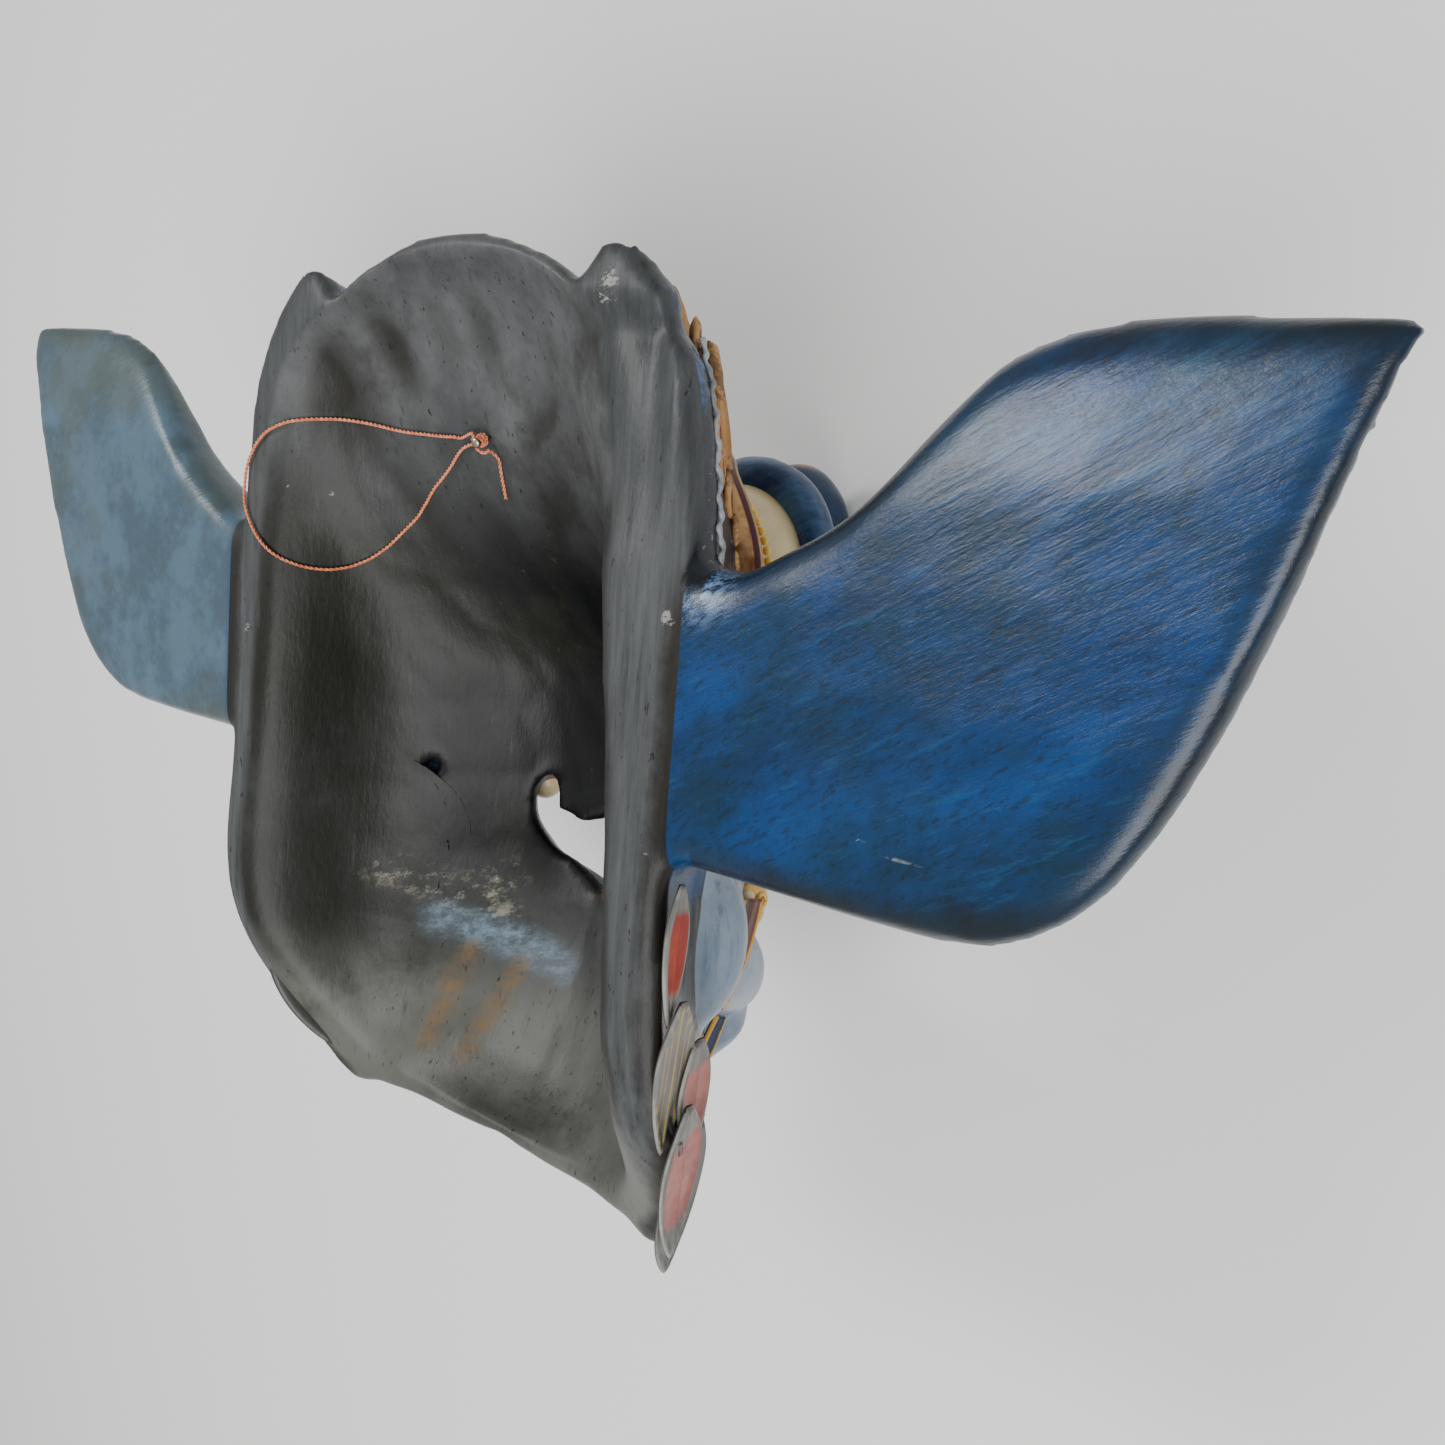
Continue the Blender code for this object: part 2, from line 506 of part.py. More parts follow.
# Holes: the two viewing holes below the eyes and the nail's hole in the hollow
def drill(name, centre, direction, radius, length, sides=10):
    c = Vector(centre)
    u = Vector(direction).normalized()
    wide = u.cross(Vector((0.0, 0.0, 1.0))).normalized()
    tall = u.cross(wide)
    rings = []
    for t in (-length, length):
        rings.append([
            tuple(c + u * t + wide * (radius * math.cos(a)) + tall * (radius * math.sin(a)))
            for a in (2 * math.pi * k / sides for k in range(sides))
        ])
    return loft(name, rings)


# The hollow again, a hair smaller, so that nothing carved outside stands into it
HAIR = 0.0008
rings = [[(0.0, hollow_at(0, CENTRE_Z) - HAIR, CENTRE_Z)]]
for s in HOLLOW_RINGS:
    rings.append([(x * 0.997, d - HAIR, z * 0.997) for x, d, z in shell_ring(INNER_EDGE, RIGHT_HOLLOW, s, hollow_at)])
rings.append([(x * 0.997, d - HAIR, z * 0.997) for x, d, z in flat_ring(INNER_EDGE, RIGHT_HOLLOW)])
rings.append([(x * 0.997, d - 0.05, z * 0.997) for x, d, z in flat_ring(INNER_EDGE, RIGHT_HOLLOW)])
cut(loft("hollow", rings))
for side in (1, -1):
    add(ball("mouth_scroll", (side * 0.168, 0.188, -0.262), (0.022, 0.022, 0.022), around=10, rows=5))
    cut(drill("viewing_hole", (side * 0.150, 0.130, -0.204), (side * 0.72, 0.66, -0.06),
              VIEW_HOLE_D / 2 / MASK_M, 0.12))

# The resting plane takes a small flat off the trunk and the tusks
floor = finish_mesh("floor", [
    (x, d, z) for x in (-1, 1) for d in (FACE_DEPTH, FACE_DEPTH + 0.3) for z in (-1, 1)
], [(0, 1, 3, 2), (4, 6, 7, 5), (0, 4, 5, 1), (2, 3, 7, 6), (0, 2, 6, 4), (1, 5, 7, 3)])
cut(floor)
# The nail's hole, a little above the middle of the crown's hollow
NAIL_AT = (-0.0240, 0.0770)


def hollow_out(x, z):
    """The direction out of the wood at a place in the hollow."""
    e = 0.004
    dx = (hollow_at(x + e, z) - hollow_at(x - e, z)) / (2 * e)
    dz = (hollow_at(x, z + e) - hollow_at(x, z - e)) / (2 * e)
    return Vector((dx, -1.0, dz)).normalized()


nail_base = Vector((NAIL_AT[0], hollow_at(*NAIL_AT), NAIL_AT[1]))
nail_out = hollow_out(*NAIL_AT)
cut(drill("nail_hole", nail_base, nail_out, (NAIL_D / 2 + FIT_GAP) / MASK_M,
          (NAIL_IN + FIT_GAP) / MASK_M, sides=8))

tidy = bmesh.new()
tidy.from_mesh(mask.data)
bmesh.ops.dissolve_limit(tidy, angle_limit=math.radians(2.6), verts=tidy.verts[:], edges=tidy.edges[:])
bmesh.ops.triangulate(tidy, faces=tidy.faces[:])
tidy.to_mesh(mask.data)
tidy.free()



# The nail: a round shank with a domed head
def turned(name, base, along, profile, sides=10):
    """A turned body; the profile is (how far along, radius) in metres."""
    wide = along.cross(Vector((0.0, 0.0, 1.0))).normalized()
    tall = along.cross(wide)
    rings = []
    for reach, radius in profile:
        c = base + along * (reach / MASK_M)
        r = radius / MASK_M
        rings.append([
            tuple(c + wide * (r * math.cos(a)) + tall * (r * math.sin(a)))
            for a in (2 * math.pi * k / sides for k in range(sides))
        ])
    return loft(name, rings)


nail = turned("hanging_nail", nail_base, nail_out, [
    (-NAIL_IN, NAIL_D / 2), (NAIL_STANDS - 0.0010, NAIL_D / 2), (NAIL_STANDS - 0.0009, NAIL_HEAD_D / 2),
    (NAIL_STANDS - 0.0004, NAIL_HEAD_D / 2), (NAIL_STANDS, NAIL_HEAD_D * 0.3),
])

# The knot: the cord's turns round the nail, as a ring with clear space round the shank
KNOT_IN = NAIL_D / 2 + FIT_GAP
KNOT_OUT = KNOT_IN + 1.5 * CORD_D
KNOT_LOW = 0.0016
KNOT_HIGH = 0.0042
wide = nail_out.cross(Vector((0.0, 0.0, 1.0))).normalized()
tall = nail_out.cross(wide)
points = []
faces = []
profile = [(KNOT_IN, KNOT_LOW + 0.0004), (KNOT_IN + 0.0005, KNOT_LOW), (KNOT_OUT - 0.0005, KNOT_LOW),
           (KNOT_OUT, KNOT_LOW + 0.0008), (KNOT_OUT, KNOT_HIGH - 0.0008), (KNOT_OUT - 0.0005, KNOT_HIGH),
           (KNOT_IN + 0.0005, KNOT_HIGH), (KNOT_IN, KNOT_HIGH - 0.0004)]
for k in range(12):
    a = 2 * math.pi * k / 12
    for radius, reach in profile:
        c = nail_base + nail_out * (reach / MASK_M)
        r = radius / MASK_M
        points.append(tuple(c + wide * (r * math.cos(a)) + tall * (r * math.sin(a))))
size = len(profile)
for k in range(12):
    for j in range(size):
        m, n = (k + 1) % 12, (j + 1) % size
        faces.append((k * size + j, k * size + n, m * size + n, m * size + j))
knot = finish_mesh("cord_knot", points, faces)

# The cord: a tail, past the knot, and one loop that lies in the hollow and over the rim
TAIL = [(-0.0264, 0.0339), (-0.0231, 0.0429), (-0.0194, 0.0539), (-0.0172, 0.0630)]
LOOP = [(-0.052, 0.077), (-0.108, 0.079), (-0.160, 0.085), (-0.203, 0.078), (-0.238, 0.053),
        (-0.249, 0.018), (-0.227, -0.014), (-0.195, -0.037), (-0.168, -0.026), (-0.128, 0.008),
        (-0.087, 0.045), (-0.056, 0.0675)]
depsgraph = bpy.context.evaluated_depsgraph_get()


def rest_on_wood(x, z, lift):
    """Where a cord's centre lies on the mask's back, in mask measures."""
    start = Vector(world(x, -0.2, z))
    found, spot, normal, _ = mask.ray_cast(start, Vector((0.0, 0.0, -1.0)))
    if normal.z < 0:
        normal = -normal
    spot = spot + normal * lift
    return Vector((spot.x / MASK_M, FACE_DEPTH - spot.z / MASK_M, spot.y / MASK_M + MIDDLE_Z))


def along_route(stops, step):
    """Points evenly spaced along a smooth line through the stops."""
    line = [Vector((p[0], p[1])) for p in smooth_path(stops, 8)]
    reach = [0.0]
    for p, q in zip(line, line[1:]):
        reach.append(reach[-1] + (q - p).length)
    count = max(2, int(round(reach[-1] / step)) + 1)
    out = []
    for i in range(count):
        at = reach[-1] * i / (count - 1)
        out.append((float(np.interp(at, reach, [p.x for p in line])),
                    float(np.interp(at, reach, [p.y for p in line]))))
    return out


LIFT = CORD_D / 2 + FIT_GAP + 0.0002
CORD_STEP = 0.0036
route = [rest_on_wood(x, z, LIFT) for x, z in along_route(TAIL, CORD_STEP / MASK_M)]
beside = (KNOT_OUT + CORD_D / 2 + FIT_GAP + 0.0002) / MASK_M
middle = nail_base + nail_out * ((KNOT_LOW + 0.0011) / MASK_M)
tail_side = (Vector((0.55, 0.0, -0.83)) - nail_out * Vector((0.55, 0.0, -0.83)).dot(nail_out)).normalized()
for degrees in (0, -40, -80, -120, -160):
    turn = math.radians(degrees)
    arm = tail_side * math.cos(turn) + nail_out.cross(tail_side) * math.sin(turn)
    route.append(middle + arm * beside * 1.04)
loop = [rest_on_wood(x, z, LIFT) for x, z in along_route(LOOP, CORD_STEP / MASK_M)]
route += loop
curve = bpy.data.curves.new("hanging_cord", "CURVE")
curve.dimensions = "3D"
curve.bevel_depth = CORD_D / 2
curve.bevel_resolution = 2
curve.use_fill_caps = True
line = curve.splines.new("POLY")
line.points.add(len(route) - 1)
for spot, p in zip(line.points, route):
    spot.co = (*world(*p), 1.0)
cord = bpy.data.objects.new("hanging_cord", curve)
bpy.context.collection.objects.link(cord)


def paint(name, colour, rough, metal=0.0):
    finish = bpy.data.materials.new(name)
    finish.use_nodes = True
    surface = finish.node_tree.nodes["Principled BSDF"]
    surface.inputs["Base Color"].default_value = colour + (1.0,)
    surface.inputs["Roughness"].default_value = rough
    surface.inputs["Metallic"].default_value = metal
    return finish


mask.data.materials.clear()
mask.data.materials.append(paint("painted_wood", (0.03, 0.12, 0.24), 0.5))
nail.data.materials.append(paint("bright_steel", (0.60, 0.58, 0.52), 0.35, 1.0))
knot.data.materials.append(paint("orange_knot", (0.66, 0.17, 0.06), 0.6))
curve.materials.append(paint("orange_cord", (0.66, 0.17, 0.06), 0.6))
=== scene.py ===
import math

import bmesh
import bpy
import numpy as np
from mathutils import Matrix, Vector
from mathutils.bvhtree import BVHTree

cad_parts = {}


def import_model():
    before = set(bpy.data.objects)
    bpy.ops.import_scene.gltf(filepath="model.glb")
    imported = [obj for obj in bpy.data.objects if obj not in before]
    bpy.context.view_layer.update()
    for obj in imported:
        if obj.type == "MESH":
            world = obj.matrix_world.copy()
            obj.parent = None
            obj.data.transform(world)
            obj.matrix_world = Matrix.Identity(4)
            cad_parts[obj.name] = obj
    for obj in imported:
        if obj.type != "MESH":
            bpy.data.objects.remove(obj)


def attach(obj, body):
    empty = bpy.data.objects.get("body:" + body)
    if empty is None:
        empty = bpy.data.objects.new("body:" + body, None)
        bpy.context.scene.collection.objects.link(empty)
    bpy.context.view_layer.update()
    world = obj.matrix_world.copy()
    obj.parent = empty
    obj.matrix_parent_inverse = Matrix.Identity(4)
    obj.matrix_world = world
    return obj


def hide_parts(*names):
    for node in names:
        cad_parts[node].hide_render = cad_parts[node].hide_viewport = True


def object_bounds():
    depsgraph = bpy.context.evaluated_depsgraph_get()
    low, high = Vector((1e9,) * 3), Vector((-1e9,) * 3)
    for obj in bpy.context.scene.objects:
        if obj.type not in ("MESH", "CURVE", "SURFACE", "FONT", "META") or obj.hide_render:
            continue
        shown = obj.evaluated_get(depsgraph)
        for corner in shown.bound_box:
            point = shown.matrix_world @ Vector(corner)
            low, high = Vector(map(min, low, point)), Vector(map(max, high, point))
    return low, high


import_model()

cad_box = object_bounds()

# The carved mask
# One block of soft pale wood, carved outside and gouged hollow behind, then primed and
# painted: black inside, blue ears and trunk, blue-grey cheeks, red mouth. It lies face down.
# One mask measure is 0.42 m; the face is 0.494 measures deep, from the back rim to the tusk tips
MASK_M = 0.42
FACE_DEPTH = 0.494
MIDDLE_Z = -0.1500
CENTRE_Z = -0.13


def world(x, d, z):
    """Mask measures (across, forward, up the face) as a place in the row frame, metres."""
    return (x * MASK_M, (z - MIDDLE_Z) * MASK_M, (FACE_DEPTH - d) * MASK_M)


def table(rows, at):
    """A smooth curve through the rows, read at many places at once."""
    keys = np.array([row[0] for row in rows], float)
    values = np.array([row[1] for row in rows], float)
    at = np.clip(np.asarray(at, float), keys[0], keys[-1])
    steps = np.diff(values) / np.diff(keys)
    before = np.concatenate([[steps[0]], steps])
    after = np.concatenate([steps, [steps[-1]]])
    product = before * after
    total = np.where(np.abs(before + after) < 1e-12, 1.0, before + after)
    slopes = np.where(product <= 0, 0.0, 2 * product / total)
    i = np.clip(np.searchsorted(keys, at, side="right") - 1, 0, len(keys) - 2)
    span = keys[i + 1] - keys[i]
    t = (at - keys[i]) / span
    return ((2 * t ** 3 - 3 * t ** 2 + 1) * values[i] + (t ** 3 - 2 * t ** 2 + t) * span * slopes[i]
            + (3 * t ** 2 - 2 * t ** 3) * values[i + 1] + (t ** 3 - t ** 2) * span * slopes[i + 1])


# Half of each edge of the back rim, as across, up and forward, from the crown to the chin
OUTER_EDGE = [
    (0.000, 0.216, 0.008), (0.045, 0.212, 0.008), (0.085, 0.201, 0.008), (0.115, 0.189, 0.006),
    (0.137, 0.177, 0.004), (0.150, 0.189, 0.003), (0.162, 0.201, 0.002), (0.182, 0.198, 0.003),
    (0.199, 0.184, 0.020), (0.214, 0.164, 0.028), (0.228, 0.140, 0.030), (0.242, 0.104, 0.030),
    (0.251, 0.060, 0.030), (0.259, 0.010, 0.028), (0.274, -0.060, 0.014), (0.274, -0.130, 0.010),
    (0.273, -0.190, 0.010), (0.278, -0.240, 0.010), (0.281, -0.290, 0.011), (0.277, -0.335, 0.015),
    (0.262, -0.377, 0.026), (0.242, -0.420, 0.046), (0.218, -0.461, 0.070), (0.190, -0.497, 0.088),
    (0.145, -0.490, 0.094), (0.073, -0.489, 0.099), (0.000, -0.489, 0.101),
]
CREST = [
    (0.000, 0.210, 0.001), (0.044, 0.206, 0.001), (0.082, 0.195, 0.001), (0.111, 0.183, 0.000),
    (0.135, 0.171, 0.000), (0.149, 0.180, 0.000), (0.160, 0.191, 0.000), (0.180, 0.190, 0.000),
    (0.199, 0.177, 0.000), (0.218, 0.158, 0.000), (0.233, 0.134, 0.000), (0.245, 0.101, 0.000),
    (0.251, 0.058, 0.000), (0.255, 0.010, 0.000), (0.256, -0.060, 0.000), (0.255, -0.130, 0.000),
    (0.256, -0.190, 0.000), (0.261, -0.240, 0.000), (0.264, -0.288, 0.000), (0.261, -0.332, 0.005),
    (0.248, -0.373, 0.017), (0.231, -0.413, 0.038), (0.210, -0.453, 0.063), (0.185, -0.488, 0.084),
    (0.144, -0.485, 0.092), (0.072, -0.484, 0.098), (0.000, -0.484, 0.100),
]
INNER_EDGE = [
    (0.000, 0.203, 0.001), (0.042, 0.199, 0.001), (0.078, 0.188, 0.001), (0.104, 0.176, 0.000),
    (0.124, 0.162, 0.000), (0.140, 0.157, 0.000), (0.154, 0.154, 0.000), (0.169, 0.150, 0.000),
    (0.183, 0.142, 0.000), (0.196, 0.128, 0.000), (0.206, 0.110, 0.000), (0.214, 0.082, 0.000),
    (0.220, 0.048, 0.000), (0.225, 0.005, 0.000), (0.229, -0.060, 0.000), (0.232, -0.130, 0.000),
    (0.235, -0.190, 0.000), (0.240, -0.240, 0.000), (0.243, -0.288, 0.000), (0.240, -0.332, 0.004),
    (0.230, -0.371, 0.015), (0.216, -0.408, 0.036), (0.200, -0.446, 0.061), (0.178, -0.480, 0.083),
    (0.142, -0.480, 0.091), (0.071, -0.480, 0.097), (0.000, -0.480, 0.099),
]
# Half width, depth at the side and depth in the middle, by height up the face
HOLLOW_HALF = [(-0.480, 0.178), (-0.446, 0.200), (-0.408, 0.216), (-0.371, 0.230), (-0.332, 0.240),
               (-0.288, 0.243), (-0.190, 0.235), (-0.060, 0.229), (0.005, 0.225), (0.048, 0.220),
               (0.082, 0.214), (0.110, 0.206), (0.128, 0.196), (0.142, 0.183), (0.157, 0.160),
               (0.176, 0.130), (0.203, 0.080)]
HOLLOW_SIDE = [(-0.480, 0.083), (-0.446, 0.061), (-0.408, 0.036), (-0.371, 0.015), (-0.332, 0.004),
               (-0.288, 0.000), (0.210, 0.000)]
HOLLOW_MIDDLE = [(-0.480, 0.099), (-0.460, 0.122), (-0.430, 0.145), (-0.380, 0.168), (-0.300, 0.192),
                 (-0.200, 0.206), (-0.120, 0.198), (-0.050, 0.162), (0.010, 0.112), (0.070, 0.074),
                 (0.120, 0.054), (0.160, 0.036), (0.185, 0.019), (0.203, 0.001)]
# How far the depth has run from the middle (0) to the side (1), by share of the half width
HOLLOW_WALL = [(0.0, 1.0), (0.20, 0.95), (0.36, 0.86), (0.50, 0.74), (0.62, 0.62), (0.724, 0.49),
               (0.79, 0.36), (0.833, 0.24), (0.877, 0.12), (0.943, 0.03), (1.0, 0.0)]
SOFT_WALL = [(0.0, 1.0), (0.30, 0.93), (0.55, 0.74), (0.75, 0.45), (0.90, 0.14), (1.0, 0.0)]
FACE_HALF = [(-0.497, 0.190), (-0.461, 0.218), (-0.420, 0.242), (-0.377, 0.262), (-0.335, 0.277),
             (-0.290, 0.281), (-0.240, 0.278), (-0.190, 0.273), (-0.060, 0.274), (0.010, 0.259),
             (0.060, 0.251), (0.104, 0.242), (0.140, 0.228), (0.164, 0.214), (0.184, 0.199),
             (0.216, 0.180)]
FACE_SIDE = [(-0.497, 0.088), (-0.461, 0.070), (-0.420, 0.046), (-0.377, 0.026), (-0.335, 0.015),
             (-0.290, 0.010), (-0.130, 0.010), (-0.060, 0.014), (0.010, 0.028), (0.140, 0.030),
             (0.184, 0.020), (0.220, 0.012)]
FACE_MIDDLE = [(-0.489, 0.130), (-0.470, 0.175), (-0.440, 0.205), (-0.400, 0.225), (-0.300, 0.240),
               (-0.200, 0.245), (-0.100, 0.242), (-0.050, 0.222), (0.000, 0.192), (0.050, 0.166),
               (0.100, 0.143), (0.150, 0.114), (0.180, 0.090), (0.200, 0.066), (0.216, 0.036)]
FACE_WALL = [(0.0, 1.0), (0.22, 0.965), (0.42, 0.86), (0.60, 0.69), (0.75, 0.48), (0.85, 0.31),
             (0.92, 0.18), (0.97, 0.07), (1.0, 0.0)]
TEMPLE_WALL = [(0.0, 1.0), (0.22, 0.97), (0.42, 0.89), (0.60, 0.76), (0.75, 0.58), (0.85, 0.42),
               (0.92, 0.27), (0.97, 0.12), (1.0, 0.0)]
TEMPLE = [(-0.200, 0.0), (-0.120, 1.0), (0.000, 1.0), (0.050, 0.0)]
# The carver left the right side narrower below the temple, and its rim broader
RIGHT_SHARE = [(-0.420, 1.0), (-0.370, 0.98), (-0.330, 0.93), (-0.270, 0.91), (-0.190, 0.93),
               (-0.050, 0.94), (0.010, 0.99), (0.050, 1.0)]
RIGHT_HOLLOW = [(-0.430, 1.0), (-0.350, 0.93), (-0.300, 0.88), (-0.190, 0.88), (-0.130, 0.87),
                (-0.050, 0.84), (0.030, 0.82), (0.090, 0.79), (0.125, 0.80), (0.150, 0.93),
                (0.172, 1.0)]


def side_share(x, z, right):
    return np.where(np.asarray(x) > 0, table(right, z), 1.0)


def depth_at(x, z, half, side, middle, share, right):
    at_side = table(side, z)
    across = np.minimum(np.abs(x) / (table(half, z) * side_share(x, z, right)), 1.0)
    return at_side + (table(middle, z) - at_side) * share(across, z)


def face_share(across, z):
    full = table(TEMPLE, z)
    return (1 - full) * table(FACE_WALL, across) + full * table(TEMPLE_WALL, across)


def hollow_share(across, z):
    soft = np.clip((z + 0.03) / 0.10, 0.0, 1.0)
    return (1 - soft) * table(HOLLOW_WALL, across) + soft * table(SOFT_WALL, across)


def face_at(x, z):
    return depth_at(x, z, FACE_HALF, FACE_SIDE, FACE_MIDDLE, face_share, RIGHT_SHARE)


def hollow_at(x, z):
    return depth_at(x, z, HOLLOW_HALF, HOLLOW_SIDE, HOLLOW_MIDDLE, hollow_share, RIGHT_HOLLOW)


def on_right(x, z):
    """A place moved in with the narrower right side."""
    return float(x * table(RIGHT_SHARE, z)) if x > 0 else x


def rounded(a, b, c, e, t):
    """A place between b and c, on the smooth curve that also passes a and e."""
    return 0.5 * (2 * b + (c - a) * t + (2 * a - 5 * b + 4 * c - e) * t * t
                  + (3 * b - a - 3 * c + e) * t ** 3)


def smooth_path(stops, steps):
    """A curve through the stops as evenly numbered points; a stop may carry a radius."""
    out = []
    pts = [np.array(p, float) for p in stops]
    pts = [2 * pts[0] - pts[1]] + pts + [2 * pts[-1] - pts[-2]]
    for i in range(1, len(pts) - 2):
        out += [rounded(pts[i - 1], pts[i], pts[i + 1], pts[i + 2], k / steps) for k in range(steps)]
    out.append(pts[-2])
    return out


def placed(name, data):
    """A new object of the scene, at its origin."""
    piece = bpy.data.objects.new(name, data)
    bpy.context.scene.collection.objects.link(piece)
    return piece


def raw_mesh(name, points, faces):
    """Mask-measure points as a closed mesh, facing out."""
    mesh = bpy.data.meshes.new(name)
    mesh.from_pydata([world(*p) for p in points], [], faces)
    built = bmesh.new()
    built.from_mesh(mesh)
    bmesh.ops.recalc_face_normals(built, faces=built.faces)
    if built.calc_volume(signed=True) < 0:
        bmesh.ops.reverse_faces(built, faces=built.faces)
    bmesh.ops.triangulate(built, faces=built.faces[:])
    built.to_mesh(mesh)
    built.free()
    return placed(name, mesh)


def loft(name, rings):
    """A closed body through rings of equal count; a ring of one point is a tip."""
    points = []
    faces = []
    starts = []
    for ring in rings:
        starts.append(len(points))
        points.extend(ring)
    for i in range(len(rings) - 1):
        a, b = starts[i], starts[i + 1]
        na, nb = len(rings[i]), len(rings[i + 1])
        n = max(na, nb)
        for k in range(n):
            m = (k + 1) % n
            if na == 1:
                faces.append((a, b + k, b + m))
            elif nb == 1:
                faces.append((a + k, a + m, b))
            else:
                faces.append((a + k, a + m, b + m, b + k))
    if len(rings[0]) > 1:
        faces.append(tuple(starts[0] + k for k in reversed(range(len(rings[0])))))
    if len(rings[-1]) > 1:
        faces.append(tuple(starts[-1] + k for k in range(len(rings[-1]))))
    return raw_mesh(name, points, faces)


def gathered(name, parts):
    """Several closed meshes as one piece."""
    whole = bmesh.new()
    for part in parts:
        whole.from_mesh(part.data)
        bpy.data.objects.remove(part)
    mesh = bpy.data.meshes.new(name)
    whole.to_mesh(mesh)
    whole.free()
    return placed(name, mesh)


def outline(half, right, steps=4):
    """A half outline, mirrored, narrowed on the right and rounded through its points."""
    full = [(float(x * table(right, z)), z, d) for x, z, d in half]
    full += [(-x, z, d) for x, z, d in reversed(half[1:-1])]
    n = len(full)
    pts = [np.array(p) for p in full]
    out = []
    for i in range(n):
        a, b, c, e = pts[i - 1], pts[i], pts[(i + 1) % n], pts[(i + 2) % n]
        out += [rounded(a, b, c, e, k / steps) for k in range(steps)]
    return np.array(out)


def shell_ring(edge, s, surface):
    x = s * edge[:, 0]
    z = CENTRE_Z + s * (edge[:, 1] - CENTRE_Z)
    near = max(0.0, (s - 0.93) / 0.07)
    d = surface(x, z) * (1 - near) + edge[:, 2] * near
    return [tuple(p) for p in np.stack([x, d, z], axis=1)]


outer, crest = outline(OUTER_EDGE, RIGHT_SHARE), outline(CREST, RIGHT_SHARE)
inner = outline(INNER_EDGE, RIGHT_HOLLOW)
rings = [[(0.0, float(face_at(0, CENTRE_Z)), CENTRE_Z)]]
rings += [shell_ring(outer, s, face_at) for s in np.linspace(0.04, 0.93, 24)]
rings += [shell_ring(outer, s, face_at) for s in (0.95, 0.965, 0.98, 0.99, 1.0)]
rings.append([(x, d, z) for x, z, d in crest])
rings += [shell_ring(inner, s, hollow_at) for s in (1.0, 0.985, 0.97, 0.95, 0.93)]
rings += [shell_ring(inner, s, hollow_at) for s in np.linspace(0.90, 0.04, 26)]
rings.append([(0.0, float(hollow_at(0, CENTRE_Z)), CENTRE_Z)])
shell = loft("shell", rings)

# The open mouth: a crescent through the wall that flares towards the lips
MOUTH_BACK = [(-0.045, -0.193), (-0.066, -0.215), (-0.063, -0.240), (-0.045, -0.255), (0.0, -0.278),
              (0.045, -0.255), (0.063, -0.240), (0.066, -0.215), (0.045, -0.193), (0.047, -0.215),
              (0.048, -0.236), (0.030, -0.243), (0.0, -0.228), (-0.030, -0.243), (-0.048, -0.236),
              (-0.047, -0.215)]
MOUTH_FRONT = [(-0.150, -0.205), (-0.185, -0.225), (-0.180, -0.270), (-0.120, -0.315), (0.0, -0.335),
               (0.120, -0.315), (0.180, -0.270), (0.185, -0.225), (0.150, -0.205), (0.120, -0.215),
               (0.100, -0.226), (0.050, -0.228), (0.0, -0.222), (-0.050, -0.228), (-0.100, -0.226),
               (-0.120, -0.215)]
mouth = loft("mouth", [
    [(x, 0.08, z) for x, z in MOUTH_BACK],
    [(x, 0.172, z) for x, z in MOUTH_BACK],
    [(x, 0.300, z) for x, z in MOUTH_FRONT],
    [(x * 1.3, 0.400, z) for x, z in MOUTH_FRONT],
])


def cut(target, other):
    """The target with the other body taken out of it."""
    step = target.modifiers.new("step", "BOOLEAN")
    step.operation = "DIFFERENCE"
    step.solver = "EXACT"
    step.object = other
    evaluated = target.evaluated_get(bpy.context.evaluated_depsgraph_get())
    mesh = bpy.data.meshes.new_from_object(evaluated)
    target.modifiers.clear()
    target.data = mesh
    bpy.data.objects.remove(other)


def tube(name, path, radii, sides, across=(1.0, 0.0, 0.0), tip=None):
    """A round bar along a path; across sets where its first corner lies."""
    rings = []
    count = len(path)
    for i, centre in enumerate(path):
        c = Vector(centre)
        ahead = Vector(path[min(i + 1, count - 1)]) - Vector(path[max(i - 1, 0)])
        ahead.normalize()
        wide = Vector(across) - ahead * Vector(across).dot(ahead)
        wide.normalize()
        tall = ahead.cross(wide)
        r = radii[i]
        rings.append([
            tuple(c + wide * (r * math.cos(a)) + tall * (r * math.sin(a)))
            for a in (2 * math.pi * k / sides for k in range(sides))
        ])
    if tip:
        rings.append([tip])
    return loft(name, rings)


def bar(name, stops, steps, sides, across=(1.0, 0.0, 0.0)):
    """A round bar through stops that carry a radius."""
    line = smooth_path(stops, steps)
    return tube(name, [tuple(q[:3]) for q in line], [q[3] for q in line], sides, across)


def viewing_holes():
    """Cutters for the small viewing hole beside each cheek."""
    cutters = []
    for side in (1, -1):
        through = Vector((side * 0.70, 0.70, -0.10)) * 0.13
        at = Vector((side * 0.150, 0.130, -0.204))
        cutters.append(tube("viewing_hole", [tuple(at - through), tuple(at + through)], [0.0085, 0.0085],
                            24, across=(0.0, 0.0, 1.0)))
    return cutters


cut(shell, gathered("openings", [mouth] + viewing_holes()))

